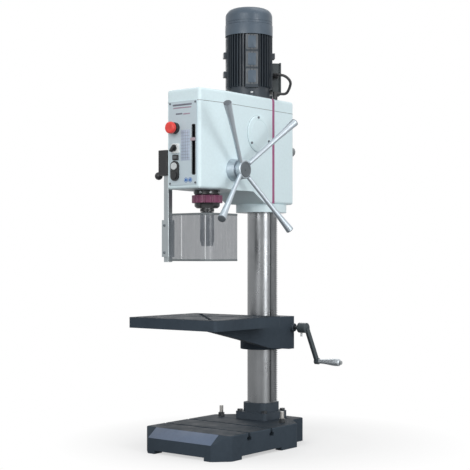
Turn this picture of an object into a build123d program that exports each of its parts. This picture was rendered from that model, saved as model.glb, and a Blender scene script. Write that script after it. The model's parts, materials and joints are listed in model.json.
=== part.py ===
"""Geared pillar drilling machine, floor standing, in millimetres.

The floor is Z = 0, the column's axis is X = Y = 0 and the operator stands at -Y.
"""

from build123d import *
import os
from math import atan2, cos, degrees, pi, radians, sin, tan

os.makedirs("parts", exist_ok=True)

# ---- driving sizes ----
COLUMN_R = 57.5
FLOOR_GAP = 0.5  # between pieces that slide or turn past each other

# base
BASE_HALF = 216
BASE_FRONT = -525
BASE_REAR = 110
BASE_TOP = 96
REAR_HALF = 142
SHOULDER_Y = -45
CORNER_CUT = 56
BEVEL_LOW = 59
BEVEL_TOP_Y = -474
SLOT_W = 14
TEE_W = 28
TEE_H = 13
BASE_SLOTS_Y = (-362, -219)
ANCHORS = [(-158, -69), (158, -69)]

# column foot and column
FOOT_HALF = 78
FOOT_TOP = 125
COLLAR_HALF = 60
COLLAR_TOP = 163
COLUMN_LOW = 102
COLUMN_HIGH = 1240

# lifting rack and its gears
MODULE = 2.5
RACK_PITCH_X = 73.5
RACK_BACK_X = 58
RACK_HALF_W = 12.5
PINION_TEETH = 12
PINION_R = MODULE * PINION_TEETH / 2
GEAR_X = RACK_PITCH_X + PINION_R
GEAR_Z = 445
WHEEL_MODULE = 2
WHEEL_TEETH = 18
WORM_R = 9
CRANK_Y = 62
CRANK_Z = 474

# table
TABLE_HALF = 220
TABLE_FRONT = -572
TABLE_BACK = -161
TABLE_TOP = 532
TABLE_UNDER = 491
HUB_R = 87
HUB_LOW = 385
HUB_TOP = 520
GEARBOX_X = 114
GEARBOX_BACK = 85
CRANK_ARM = 161
CRANK_SWING = 28  # degrees back from straight down

# head
HEAD_HALF = 100
HEAD_NOSE_HALF = 82.5
HEAD_FRONT = -498
HEAD_CREASE_Y = -364
HEAD_REAR = 95
HEAD_LOW = 985
NOSE_LOW = 1029
HEAD_SEAM = 1365
HEAD_TOP = 1415
WALL = 9
SOCKET_LOW = 951
SHELF_LOW = 1210
SHELF_TOP = 1228
REAR_CAVITY_LOW = 1250

# spindle, quill and feed
SPINDLE_Y = -354
QUILL_R = 25
QUILL_TRAVEL = 120
QUILL_LOW = 958
QUILL_TOP = 1195
SPINDLE_R = 14
NOSE_R = 20
FEED_MODULE = 2
FEED_TEETH = 16
FEED_R = FEED_MODULE * FEED_TEETH / 2
FEED_Y = -315
FEED_Z = 1107
ARM_REACH = 305
ARM_TIP_X = 230
ARM_ANGLE = 40.5
CHUCK_R = 27.8
CHUCK_TOP = 944
CHUCK_LOW = 810
RUN = 0.05  # radial clearance of a running fit

# gear selector lever on the left flank
LEVER_Y = -405
LEVER_Z = 1112

# drive train: four upright shafts, a fixed distance apart
MOTOR_Y = -84
SHAFT_STEP = 90
GEAR_B_Y = MOTOR_Y - SHAFT_STEP
GEAR_C_Y = GEAR_B_Y - SHAFT_STEP
TEETH_A, TEETH_B, PINION_B, TEETH_C, PINION_C, TEETH_S = 20, 52, 24, 48, 30, 42
LEVEL_1 = 1340
LEVEL_2 = 1300
LEVEL_3 = 1257
GEAR_W = 22

# motor
MOTOR_LOW = 1440
COWL_LOW = 1680
MOTOR_TOP = 1785
COWL_R = 98
FIN_R = 95

# guard
POST_X = -116
POST_Y = -454.5
POST_W = 25
POST_LOW = 747
POST_TOP = 1080
SHIELD_LOW = 751
SHIELD_TOP = 937
SHIELD_T = 4


# ---- shapes used again and again ----
def side(x):
    """The plane X = x, drawn in (Y, Z)."""
    return Plane.YZ.offset(x)


def front(y):
    """The plane Y = y, drawn in (X, Z); an extrusion runs towards the operator."""
    return Plane.XZ.offset(-y)


def level(z):
    """The plane Z = z, drawn in (X, Y)."""
    return Plane.XY.offset(z)


def disc(plane, centre, radius, height, mode=Mode.ADD):
    """A round bar standing on a plane."""
    with BuildSketch(plane) as outline:
        with Locations(centre):
            Circle(radius)
    extrude(outline.sketch, amount=height, mode=mode)


def ring(plane, centre, outer, inner, height):
    """A washer or tube standing on a plane."""
    with BuildSketch(plane) as outline:
        with Locations(centre):
            Circle(outer)
            Circle(inner, mode=Mode.SUBTRACT)
    extrude(outline.sketch, amount=height)


def block(plane, centre, width, depth, height, corner=0, mode=Mode.ADD, turn=0):
    """A block with rounded upright corners standing on a plane."""
    with BuildSketch(plane) as outline:
        with Locations(Location((centre[0], centre[1], 0), (0, 0, turn))):
            if corner:
                RectangleRounded(width, depth, corner)
            else:
                Rectangle(width, depth)
    extrude(outline.sketch, amount=height, mode=mode)


def prism(plane, points, height, mode=Mode.ADD):
    """A straight-sided outline carried away from its plane."""
    with BuildSketch(plane) as outline:
        with BuildLine():
            Polyline(*points, close=True)
        make_face()
    extrude(outline.sketch, amount=height, mode=mode)


def hexagon(plane, centre, across_flats, height, mode=Mode.ADD):
    """A hexagonal head or nut."""
    with BuildSketch(plane) as outline:
        with Locations(centre):
            RegularPolygon(across_flats / 2, 6, major_radius=False)
    extrude(outline.sketch, amount=height, mode=mode)


def gear_points(teeth, module, centre, first_tooth):
    """Outline of a spur gear whose first tooth points at first_tooth degrees."""
    pitch_r = module * teeth / 2
    tooth = 2 * pi / teeth
    points = []
    for n in range(teeth):
        middle = radians(first_tooth) + n * tooth
        for share, rise in ((-0.27, -1.25), (-0.11, 0.85), (0.11, 0.85), (0.27, -1.25)):
            r = pitch_r + rise * module
            a = middle + share * tooth
            points.append((centre[0] + r * cos(a), centre[1] + r * sin(a)))
    return points


def gear(plane, teeth, module, centre, first_tooth, height):
    """A spur gear standing on a plane."""
    prism(plane, gear_points(teeth, module, centre, first_tooth), height)


def finish_piece(part, label):
    """Name a piece and write it to its own file."""
    part.label = label
    export_step(part, f"parts/{label}.step")


# ---- base ----
def base_outline():
    """Plan of the base: a wide front, 45 degree shoulders and a narrow rear."""
    right = [
        (BASE_HALF - CORNER_CUT, BASE_FRONT),
        (BASE_HALF, BASE_FRONT + CORNER_CUT),
        (BASE_HALF, SHOULDER_Y),
        (REAR_HALF, SHOULDER_Y + BASE_HALF - REAR_HALF),
        (REAR_HALF, BASE_REAR),
    ]
    return right + [(-x, y) for x, y in reversed(right)]


with BuildPart() as base_plate:
    prism(level(0), base_outline(), BASE_TOP)
    fillet(base_plate.edges().filter_by(Axis.Z), 16)
    fillet(base_plate.faces().sort_by(Axis.Z)[-1].edges(), 4)
    # the sloping nose at the front
    prism(
        side(-BASE_HALF - 1),
        [(BASE_FRONT - 1, BEVEL_LOW), (BASE_FRONT - 1, BASE_TOP + 1), (BEVEL_TOP_Y, BASE_TOP + 1)],
        2 * BASE_HALF + 2,
        mode=Mode.SUBTRACT,
    )
    # the hollow underside, in two bays, and the arches between its feet
    block(level(0), (0, -290), 2 * BASE_HALF - 60, 380, 54, 20, Mode.SUBTRACT)
    block(level(0), (0, -15), 2 * REAR_HALF - 50, 110, 54, 20, Mode.SUBTRACT)
    disc(level(0), (0, 0), 36, 60)
    for x in (-BASE_HALF, BASE_HALF):
        block(level(0), (x, -280), 90, 256, 13, mode=Mode.SUBTRACT)
    block(level(0), (0, BASE_FRONT), 250, 120, 13, mode=Mode.SUBTRACT)
    for y in BASE_SLOTS_Y:
        block(side(-BASE_HALF - 1), (y, BASE_TOP), SLOT_W, 34, 2 * BASE_HALF + 2, mode=Mode.SUBTRACT)
        block(side(-BASE_HALF - 1), (y, 73.5), TEE_W, TEE_H, 2 * BASE_HALF + 2, mode=Mode.SUBTRACT)
    for place in ANCHORS:
        disc(level(0), place, 22, BASE_TOP)
        disc(level(0), place, 9, BASE_TOP, Mode.SUBTRACT)
    with BuildSketch(level(BASE_TOP)):
        with GridLocations(126, 126, 2, 2):
            Circle(7)
    extrude(amount=-34, mode=Mode.SUBTRACT)
finish_piece(base_plate.part, "base_plate")

with BuildPart() as fasteners:
    for x, y in ANCHORS:
        disc(level(2), (x, y), 8, BASE_TOP + 43)
        ring(level(BASE_TOP), (x, y), 13, 8, 3)
    for x, y in ANCHORS:
        with BuildSketch(level(BASE_TOP + 3)):
            with Locations((x, y)):
                RegularPolygon(12, 6, major_radius=False)
                Circle(8, mode=Mode.SUBTRACT)
        extrude(amount=13)
    for x in (-63, 63):
        for y in (-63, 63):
            disc(level(BASE_TOP - 30), (x, y), 7, FOOT_TOP - BASE_TOP + 30)
            hexagon(level(FOOT_TOP), (x, y), 21, 9)
foot_fasteners = Compound(label="floor_fasteners", children=list(fasteners.part.solids()))
finish_piece(foot_fasteners, "floor_fasteners")

with BuildPart() as column_foot:
    block(level(BASE_TOP), (0, 0), 2 * FOOT_HALF, 2 * FOOT_HALF, FOOT_TOP - BASE_TOP, 10)
    block(level(FOOT_TOP), (0, 0), 2 * COLLAR_HALF, 2 * COLLAR_HALF, COLLAR_TOP - FOOT_TOP, 26)
    fillet(column_foot.faces().sort_by(Axis.Z)[-1].edges(), 2)
    disc(level(COLUMN_LOW), (0, 0), COLUMN_R, COLLAR_TOP, Mode.SUBTRACT)
    with BuildSketch(level(BASE_TOP)):
        with GridLocations(126, 126, 2, 2):
            Circle(7)
    extrude(amount=FOOT_TOP, mode=Mode.SUBTRACT)
finish_piece(column_foot.part, "column_foot")

with BuildPart() as column_tube:
    ring(level(COLUMN_LOW), (0, 0), COLUMN_R, COLUMN_R - 12, COLUMN_HIGH - COLUMN_LOW)
finish_piece(column_tube.part, "column_tube")


# ---- lifting rack ----
def rack_points():
    """Side view of the rack: (X, Z) with a gap facing the pinion at GEAR_Z."""
    low, high = COLLAR_TOP + 3, SOCKET_LOW - 2
    pitch = pi * MODULE
    count = int((high - low - 2 * pitch) / pitch)
    first = GEAR_Z + pitch / 2 - pitch * int((GEAR_Z - low) / pitch)
    root, tip = RACK_PITCH_X - 1.25 * MODULE, RACK_PITCH_X + 0.85 * MODULE
    points = [(RACK_BACK_X, low), (root, low)]
    for n in range(count):
        z = first + n * pitch
        for share, x in ((-0.27, root), (-0.11, tip), (0.11, tip), (0.27, root)):
            points.append((x, z + share * pitch))
    return points + [(root, high), (RACK_BACK_X, high)]


with BuildPart() as lift_rack:
    prism(front(RACK_HALF_W), rack_points(), 2 * RACK_HALF_W)
finish_piece(lift_rack.part, "lift_rack")

# ---- table ----
TABLE_MID = (TABLE_FRONT + TABLE_BACK) / 2
TABLE_DEPTH = TABLE_BACK - TABLE_FRONT

ARM_HALF = 62
WEB_T = 30  # thickness of the long web on the crank side
ARM_PROFILE = [(-262, 492), (-65, 444), (-30, 436), (-30, HUB_TOP), (-200, HUB_TOP), (-200, 506), (-262, 506)]
WEB_PROFILE = [(-506, 492), (-270, 440), (-92, 397), (-92, HUB_TOP), (-200, HUB_TOP), (-200, 506), (-506, 506)]

with BuildPart() as table_casting:
    block(
        level(TABLE_UNDER), (0, TABLE_MID), 2 * TABLE_HALF, TABLE_DEPTH, TABLE_TOP - TABLE_UNDER, 12
    )
    block(
        level(TABLE_UNDER), (0, TABLE_MID), 2 * TABLE_HALF - 32, TABLE_DEPTH - 32, 13, 8, Mode.SUBTRACT
    )
    # coolant channel just inside the rim
    with BuildSketch(level(TABLE_TOP)):
        with Locations((0, TABLE_MID)):
            RectangleRounded(2 * TABLE_HALF - 24, TABLE_DEPTH - 24, 8)
            RectangleRounded(2 * TABLE_HALF - 48, TABLE_DEPTH - 48, 6, mode=Mode.SUBTRACT)
    extrude(amount=-6, mode=Mode.SUBTRACT)
    # tapering arm from the table to its hub, and a longer web in line with the gearbox
    prism(side(-ARM_HALF), ARM_PROFILE, ARM_HALF + GEARBOX_X - WEB_T)
    prism(side(GEARBOX_X - WEB_T), WEB_PROFILE, WEB_T)
    disc(level(HUB_LOW), (0, 0), HUB_R, HUB_TOP - HUB_LOW)
    # gearbox beside the hub
    prism(
        side(0),
        [(GEARBOX_BACK, HUB_LOW), (40, HUB_LOW), (-92, 397), (-92, HUB_TOP), (GEARBOX_BACK, HUB_TOP)],
        GEARBOX_X,
    )
    upright = table_casting.edges().filter_by(Axis.Z)
    rear_edge = [edge for edge in upright if edge.center().X > GEARBOX_X - 1 and edge.center().Y > 50]
    fillet(rear_edge, 12)
    # two T-slots that cross under 45 degrees
    for turn in (45, -45):
        block(level(520), (0, TABLE_MID), 470, SLOT_W, 13, 0, Mode.SUBTRACT, turn)
        block(level(509), (0, TABLE_MID), 470, 26, 11, 0, Mode.SUBTRACT, turn)
    disc(level(HUB_LOW), (0, 0), COLUMN_R + RUN, HUB_TOP - HUB_LOW, Mode.SUBTRACT)
    # room for the rack, the gears and the worm
    block(
        level(HUB_LOW), (60, 0), 34, 2 * RACK_HALF_W + 1.2, HUB_TOP - HUB_LOW, 0, Mode.SUBTRACT
    )
    disc(front(76), (GEAR_X, GEAR_Z), 20.6, 90, Mode.SUBTRACT)
    disc(front(82), (GEAR_X, GEAR_Z), 6 + RUN, 103, Mode.SUBTRACT)
    disc(side(66), (CRANK_Y, CRANK_Z), WORM_R + 0.6, 50, Mode.SUBTRACT)
    # tapped hole of the table clamp
    disc(side(-HUB_R), (40, 452), 7 + RUN, 32, Mode.SUBTRACT)
finish_piece(table_casting.part, "table_casting")

with BuildPart() as lift_gear:
    disc(front(80), (GEAR_X, GEAR_Z), 6, 100)
    gear(front(11), PINION_TEETH, MODULE, (GEAR_X, GEAR_Z), 180, 22)
    gear(front(74), WHEEL_TEETH, WHEEL_MODULE, (GEAR_X, GEAR_Z), 90, 24)
finish_piece(lift_gear.part, "lift_gear")

with BuildPart() as crank_bushing:
    ring(side(GEARBOX_X), (CRANK_Y, CRANK_Z), 17, 7 + RUN, 14)
    chamfer(crank_bushing.faces().sort_by(Axis.X)[-1].edges(), 1.5)
finish_piece(crank_bushing.part, "crank_bushing")

HUB_OUT = 150  # near face of the crank hub
with BuildPart() as crank_shaft:
    disc(side(70), (CRANK_Y, CRANK_Z), 7, HUB_OUT - 70 + 30)
    for n in range(6):
        disc(side(72 + n * 2 * pi), (CRANK_Y, CRANK_Z), WORM_R, 2.6)
finish_piece(crank_shaft.part, "crank_shaft")

# ---- crank ----
END_Y = CRANK_Y + CRANK_ARM * sin(radians(CRANK_SWING))
END_Z = CRANK_Z - CRANK_ARM * cos(radians(CRANK_SWING))
ARM_MID = ((CRANK_Y + END_Y) / 2, (CRANK_Z + END_Z) / 2)
ARM_TURN = degrees(atan2(END_Z - CRANK_Z, END_Y - CRANK_Y))

with BuildPart() as crank_arm:
    disc(side(HUB_OUT), (CRANK_Y, CRANK_Z), 21, 40)
    chamfer(crank_arm.faces().filter_by(Axis.X).edges(), 2)
    block(side(HUB_OUT + 32), ARM_MID, CRANK_ARM, 19, 12, 4, turn=ARM_TURN)
    disc(side(HUB_OUT + 30), (END_Y, END_Z), 13, 17)
    disc(side(HUB_OUT), (CRANK_Y, CRANK_Z), 7, 30, Mode.SUBTRACT)
    disc(side(HUB_OUT + 30), (END_Y, END_Z), 5, 17, Mode.SUBTRACT)
    disc(level(CRANK_Z - 40), (HUB_OUT + 12, CRANK_Y), 4, 34, Mode.SUBTRACT)
finish_piece(crank_arm.part, "crank_arm")

with BuildPart() as fixings:
    disc(level(CRANK_Z - 36), (HUB_OUT + 12, CRANK_Y), 4, 28.5)
    disc(side(HUB_OUT + 30), (END_Y, END_Z), 5, 126)
    disc(side(HUB_OUT + 156), (END_Y, END_Z), 8, 3)
crank_fixings = Compound(label="crank_fixings", children=list(fixings.part.solids()))
finish_piece(crank_fixings, "crank_fixings")

with BuildPart() as crank_grip:
    with BuildSketch(Plane.XY.offset(0)):
        with BuildLine():
            Polyline((199, 0), (199, 9.5))
            Spline((199, 9.5), (212, 9.4), (244, 11.8), (282, 15), (298, 14))
            Polyline((298, 14), (303, 9), (303, 0), (199, 0))
        make_face()
    revolve(axis=Axis.X)
grip_bore = Pos(260, 0, 0) * Rot(0, 90, 0) * Cylinder(5 + RUN, 140)
crank_grip_placed = Pos(0, END_Y, END_Z) * (crank_grip.part - grip_bore)
finish_piece(crank_grip_placed, "crank_grip")

with BuildPart() as table_clamp:
    disc(side(-HUB_R - 40), (40, 452), 7, 66)
    disc(side(-HUB_R - 34), (40, 452), 14, 32)
    block(side(-HUB_R - 30), (80, 452), 80, 10, 10, 4)
    with Locations((-HUB_R - 25, 120, 452)):
        Sphere(13)
finish_piece(table_clamp.part, "table_clamp_lever")

# ---- head ----


def head_outline(inset=0):
    """Plan of the head: parallel flanks that draw in to a narrower nose."""
    nose = HEAD_NOSE_HALF - inset
    half = HEAD_HALF - inset
    right = [
        (nose, HEAD_FRONT + inset),
        (half, HEAD_CREASE_Y + inset / 4),
        (half, HEAD_REAR - inset),
    ]
    return right + [(-x, y) for x, y in reversed(right)]


def step_cut():
    """Side view of the space below the nose, ahead of the deeper rear of the head."""
    return [
        (HEAD_FRONT - 2, HEAD_LOW - 2),
        (HEAD_FRONT - 2, NOSE_LOW),
        (-185, NOSE_LOW),
        (-109, HEAD_LOW),
        (-109, HEAD_LOW - 2),
    ]


DEPTH_SLOT = (56, 1177.5, 12, 189)  # X, Z, width and height

with BuildPart() as head_casting:
    prism(level(HEAD_LOW), head_outline(), HEAD_SEAM - HEAD_LOW)
    fillet(head_casting.edges().filter_by(Axis.Z).group_by(Axis.Y)[0], 12)
    fillet(head_casting.edges().filter_by(Axis.Z).group_by(Axis.Y)[-1], 14)
    prism(side(-HEAD_HALF - 1), step_cut(), 2 * HEAD_HALF + 2, Mode.SUBTRACT)
    lower_front = head_casting.edges().group_by(Axis.Y)[0].sort_by(Axis.Z)[0]
    fillet(lower_front, 10)
    lower_rear = head_casting.edges().group_by(Axis.Y)[-1].sort_by(Axis.Z)[0]
    fillet(lower_rear, 10)
    # column socket below the casting
    with BuildSketch(level(SOCKET_LOW)):
        SlotCenterToCenter(24, 196, rotation=90)
    extrude(amount=HEAD_LOW - SOCKET_LOW)
    # gear space above and below the bearing shelf
    prism(level(SHELF_TOP), head_outline(WALL), HEAD_SEAM - SHELF_TOP, Mode.SUBTRACT)
    prism(
        level(NOSE_LOW + 11),
        [(-70, HEAD_FRONT + 11), (-90, HEAD_CREASE_Y), (-90, -80), (90, -80), (90, HEAD_CREASE_Y),
         (70, HEAD_FRONT + 11)],
        SHELF_LOW - NOSE_LOW - 11,
        Mode.SUBTRACT,
    )
    block(level(SHELF_TOP), (0, 10), 160, 150, REAR_CAVITY_LOW - SHELF_TOP, 10)
    # guide for the quill
    disc(level(NOSE_LOW), (0, SPINDLE_Y), 43, SHELF_LOW - NOSE_LOW)
    disc(level(HEAD_LOW), (0, SPINDLE_Y), QUILL_R + RUN, SHELF_LOW - HEAD_LOW - 5, Mode.SUBTRACT)
    disc(side(-HEAD_HALF - 1), (FEED_Y, FEED_Z), 20, 2 * HEAD_HALF + 2, Mode.SUBTRACT)
    disc(level(SHELF_LOW - 6), (0, SPINDLE_Y), 32, 30, Mode.SUBTRACT)
    for y in (GEAR_B_Y, GEAR_C_Y):
        disc(level(SHELF_LOW), (0, y), 19, 20, Mode.SUBTRACT)
    disc(level(SOCKET_LOW), (0, 0), COLUMN_R, COLUMN_HIGH - SOCKET_LOW, Mode.SUBTRACT)
    # depth window and inspection opening
    block(
        front(HEAD_FRONT + 32),
        (DEPTH_SLOT[0], DEPTH_SLOT[1]),
        DEPTH_SLOT[2],
        DEPTH_SLOT[3],
        38,
        5,
        Mode.SUBTRACT,
    )
    disc(side(HEAD_HALF - 14), (-150, 1262), 58, 20, Mode.SUBTRACT)
    disc(side(-HEAD_HALF - 7), (LEVER_Y, LEVER_Z), 6 + RUN, 30, Mode.SUBTRACT)
finish_piece(head_casting.part, "head_casting")

with BuildPart() as head_top_cover:
    prism(level(HEAD_SEAM), head_outline(), HEAD_TOP - HEAD_SEAM)
    fillet(head_top_cover.edges().filter_by(Axis.Z).group_by(Axis.Y)[0], 12)
    fillet(head_top_cover.edges().filter_by(Axis.Z).group_by(Axis.Y)[-1], 14)
    fillet(head_top_cover.faces().sort_by(Axis.Z)[-1].edges(), 11.5)
    prism(level(HEAD_SEAM), head_outline(WALL), 34, Mode.SUBTRACT)
    for y in (GEAR_B_Y, GEAR_C_Y):
        disc(level(1379), (0, y), 24, 25)
        disc(level(1379), (0, y), 19, 18, Mode.SUBTRACT)
    disc(level(HEAD_SEAM), (0, MOTOR_Y), 20, 60, Mode.SUBTRACT)
finish_piece(head_top_cover.part, "head_top_cover")

with BuildPart() as bearing_rings:
    ring(level(SHELF_LOW), (0, SPINDLE_Y), 32, 22 + RUN, 18)
    for y in (GEAR_B_Y, GEAR_C_Y):
        ring(level(SHELF_LOW + 2), (0, y), 19, 10 + RUN, 16)
        ring(level(1381), (0, y), 19, 10 + RUN, 16)
bearings = Compound(label="shaft_bearings", children=list(bearing_rings.part.solids()))
finish_piece(bearings, "shaft_bearings")

# ---- gears of the drive ----
TOWARDS_FRONT = -90
TOWARDS_REAR = 90


def gap_facing(teeth, direction):
    """First tooth direction that leaves a gap facing the given direction."""
    return direction + 180 / teeth


with BuildPart() as gear_shaft_b:
    disc(level(SHELF_LOW + 3), (0, GEAR_B_Y), 10, 182)
    gear(level(LEVEL_1), TEETH_B, MODULE, (0, GEAR_B_Y), gap_facing(TEETH_B, TOWARDS_REAR), GEAR_W)
    gear(level(LEVEL_2 - 1), PINION_B, MODULE, (0, GEAR_B_Y), TOWARDS_FRONT, GEAR_W + 2)
finish_piece(gear_shaft_b.part, "gear_shaft_b")

with BuildPart() as gear_shaft_c:
    disc(level(SHELF_LOW + 3), (0, GEAR_C_Y), 10, 182)
    gear(level(LEVEL_2), TEETH_C, MODULE, (0, GEAR_C_Y), gap_facing(TEETH_C, TOWARDS_REAR), GEAR_W)
    gear(level(LEVEL_3 - 1), PINION_C, MODULE, (0, GEAR_C_Y), TOWARDS_FRONT, GEAR_W + 2)
finish_piece(gear_shaft_c.part, "gear_shaft_c")

with BuildPart() as drive_sleeve:
    disc(level(SHELF_LOW + 2), (0, SPINDLE_Y), 22, 78)
    gear(level(LEVEL_3), TEETH_S, MODULE, (0, SPINDLE_Y), gap_facing(TEETH_S, TOWARDS_REAR), GEAR_W)
    disc(level(SHELF_LOW), (0, SPINDLE_Y), SPINDLE_R - 1 + RUN, 90, Mode.SUBTRACT)
    block(level(SHELF_LOW), (0, SPINDLE_Y), 33.2, 5.2, 90, 0, Mode.SUBTRACT)
finish_piece(drive_sleeve.part, "drive_sleeve")

# ---- spindle, quill and chuck ----
with BuildPart() as quill:
    disc(level(QUILL_LOW + 0.5), (0, SPINDLE_Y), QUILL_R, QUILL_TOP - QUILL_LOW)
    pitch = pi * FEED_MODULE
    for n in range(-2, 21):
        block(
            level(FEED_Z + 0.5 * pitch - 0.29 * pitch + n * pitch - 0.5 * pitch),
            (0, SPINDLE_Y + QUILL_R),
            28,
            2 * 4.2,
            0.58 * pitch,
            0,
            Mode.SUBTRACT,
        )
    disc(level(QUILL_LOW), (0, SPINDLE_Y), SPINDLE_R + RUN, QUILL_TOP - QUILL_LOW + 2, Mode.SUBTRACT)
finish_piece(quill.part, "quill")

with BuildPart() as spindle:
    disc(level(CHUCK_TOP + 0.5), (0, SPINDLE_Y), NOSE_R, QUILL_LOW - CHUCK_TOP - 0.5)
    disc(level(CHUCK_TOP + 0.5), (0, SPINDLE_Y), SPINDLE_R, QUILL_TOP + 2 - CHUCK_TOP)
    disc(level(QUILL_TOP), (0, SPINDLE_Y), SPINDLE_R - 1, 160)
    block(level(1225), (0, SPINDLE_Y), 32, 4, 130)
    disc(level(CHUCK_TOP - 34), (0, SPINDLE_Y), 9, 36)
finish_piece(spindle.part, "spindle")

with BuildPart() as spindle_flange:
    ring(level(NOSE_LOW - 18), (0, SPINDLE_Y), 50, QUILL_R + RUN, 18)
    fillet(spindle_flange.faces().sort_by(Axis.Z)[0].edges().sort_by(SortBy.LENGTH)[-1], 2)
finish_piece(spindle_flange.part, "spindle_flange")

with BuildPart() as depth_collar:
    ring(level(QUILL_LOW + 21), (0, SPINDLE_Y), 40, QUILL_R, 31)
    ring(level(QUILL_LOW + 1), (0, SPINDLE_Y), 50, QUILL_R, 20)
    chamfer(depth_collar.faces().sort_by(Axis.Z)[0].edges().sort_by(SortBy.LENGTH)[-1], 8)
    # the clamp is open towards the operator's right
    block(level(QUILL_LOW), (31.5, SPINDLE_Y - 40), 52, 50, 20.5, 0, Mode.SUBTRACT, 38)
finish_piece(depth_collar.part, "depth_collar")

with BuildPart() as depth_ring:
    ring(level(QUILL_LOW + 21.5), (0, SPINDLE_Y), 60.5, 40 + RUN, 29.5)
    with BuildSketch(level(QUILL_LOW + 21)):
        with Locations((0, SPINDLE_Y)):
            with PolarLocations(62, 12):
                Circle(5)
    extrude(amount=31, mode=Mode.SUBTRACT)
finish_piece(depth_ring.part, "depth_ring")

with BuildPart() as chuck_body:
    disc(level(877), (0, SPINDLE_Y), CHUCK_R, CHUCK_TOP - 877)
    chamfer(chuck_body.faces().sort_by(Axis.Z)[-1].edges(), 2)
    disc(level(840), (0, SPINDLE_Y), 19, 40)
    disc(level(CHUCK_TOP - 35), (0, SPINDLE_Y), 9, 40, Mode.SUBTRACT)
    disc(level(838), (0, SPINDLE_Y), 12, 60, Mode.SUBTRACT)
finish_piece(chuck_body.part, "chuck_body")

with BuildPart() as chuck_sleeve:
    with BuildSketch(Plane.XZ.offset(-SPINDLE_Y)):
        with BuildLine():
            Polyline(
                (19 + RUN, 876.5), (CHUCK_R, 876.5), (CHUCK_R, 828), (CHUCK_R - 4, CHUCK_LOW),
                (12, CHUCK_LOW), (16, 838), (19 + RUN, 838), close=True,
            )
        make_face()
    revolve(axis=Axis((0, SPINDLE_Y, 0), (0, 0, 1)))
finish_piece(chuck_sleeve.part, "chuck_sleeve")

with BuildPart() as jaws:
    with BuildSketch(level(818)):
        with Locations((0, SPINDLE_Y)):
            with PolarLocations(0, 3):
                with Locations((7.35, 0)):
                    Rectangle(6.9, 6)
            Circle(5, mode=Mode.SUBTRACT)
    extrude(amount=60)
chuck_jaws = Compound(label="chuck_jaws", children=list(jaws.part.solids()))
finish_piece(chuck_jaws, "chuck_jaws")

# ---- feed ----
with BuildPart() as feed_boss:
    ring(side(HEAD_HALF - 9), (FEED_Y, FEED_Z), 19.9, 10 + RUN, 10)
    with BuildSketch(side(HEAD_HALF + 0.2)):
        with Locations((FEED_Y, FEED_Z)):
            Circle(44)
            Circle(10 + RUN, mode=Mode.SUBTRACT)
    extrude(amount=34, taper=7)
    ring(side(HEAD_HALF + 0.2), (FEED_Y, FEED_Z), 30, 10 + RUN, 42)
finish_piece(feed_boss.part, "feed_boss")

with BuildPart() as feed_shaft:
    disc(side(-HEAD_HALF - 20), (FEED_Y, FEED_Z), 10, 278)
    gear(side(-13), FEED_TEETH, FEED_MODULE, (FEED_Y, FEED_Z), 180, 26)
finish_piece(feed_shaft.part, "feed_shaft")

with BuildPart() as spring_housing:
    disc(side(-HEAD_HALF - 26), (FEED_Y, FEED_Z), 38, 25.8)
    fillet(spring_housing.faces().sort_by(Axis.X)[0].edges(), 5)
    disc(side(-HEAD_HALF - 21), (FEED_Y, FEED_Z), 31, 14, Mode.SUBTRACT)
    disc(side(-HEAD_HALF - 20.5), (FEED_Y, FEED_Z), 10 + RUN, 24, Mode.SUBTRACT)
finish_piece(spring_housing.part, "return_spring_housing")

HUB_BACK_X = 143
CAPSTAN_R = 37
with BuildPart() as capstan_hub:
    disc(side(HUB_BACK_X), (FEED_Y, FEED_Z), CAPSTAN_R, 19)
    fillet(capstan_hub.faces().sort_by(Axis.X)[-1].edges(), 4)
    disc(side(HUB_BACK_X - 1), (FEED_Y, FEED_Z), 10, 16, Mode.SUBTRACT)
finish_piece(capstan_hub.part, "capstan_hub")


def arm_frame(angle):
    """Plane across a capstan arm at its root, its normal running out along the arm."""
    along = Vector(ARM_TIP_X - 153, (ARM_REACH - 28) * cos(angle), (ARM_REACH - 28) * sin(angle))
    start = Vector(153, FEED_Y + 28 * cos(angle), FEED_Z + 28 * sin(angle))
    return Plane(origin=start, z_dir=along), along.length


with BuildPart() as arm_set:
    for n in range(4):
        root, length = arm_frame(radians(ARM_ANGLE + 90 * n))
        with BuildSketch(root):
            Circle(8.5)
        with BuildSketch(root.offset(length * 0.45)):
            Circle(9.2)
        with BuildSketch(root.offset(length * 0.72)):
            Circle(11.2)
        with BuildSketch(root.offset(length)):
            Circle(15.5)
        loft(ruled=False)
capstan_arms = Compound(
    label="capstan_arms",
    children=[
        (arm - Pos(HUB_BACK_X + 9.5, FEED_Y, FEED_Z) * Rot(0, 90, 0) * Cylinder(CAPSTAN_R, 30))
        .solids()
        .sort_by(SortBy.VOLUME)[-1]
        for arm in arm_set.part.solids()
    ],
)
finish_piece(capstan_arms, "capstan_arms")

# ---- front panel and its controls ----
PANEL_T = 3
FACE = HEAD_FRONT - PANEL_T - 0.2
PANEL_LOW = 1044
PANEL_HIGH = 1366
CONTROL_X = -37
STOP_Z = 1264
SELECTOR_Z = 1186
START_Z = 1117
OFF_Z = 1081

with BuildPart() as front_panel:
    block(
        front(HEAD_FRONT - 0.2), (0, (PANEL_LOW + PANEL_HIGH) / 2), 140, PANEL_HIGH - PANEL_LOW, 3, 3
    )
    block(
        front(HEAD_FRONT), (DEPTH_SLOT[0], DEPTH_SLOT[1]), DEPTH_SLOT[2], DEPTH_SLOT[3], 5, 5,
        Mode.SUBTRACT,
    )
finish_piece(front_panel.part, "front_panel")

with BuildPart() as slot_trim:
    with BuildSketch(front(FACE - 0.1)):
        with Locations(DEPTH_SLOT[:2]):
            RectangleRounded(DEPTH_SLOT[2] + 5, DEPTH_SLOT[3] + 5, 6)
            RectangleRounded(DEPTH_SLOT[2], DEPTH_SLOT[3], 5, mode=Mode.SUBTRACT)
    extrude(amount=1.5)
finish_piece(slot_trim.part, "depth_slot_trim")

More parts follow.
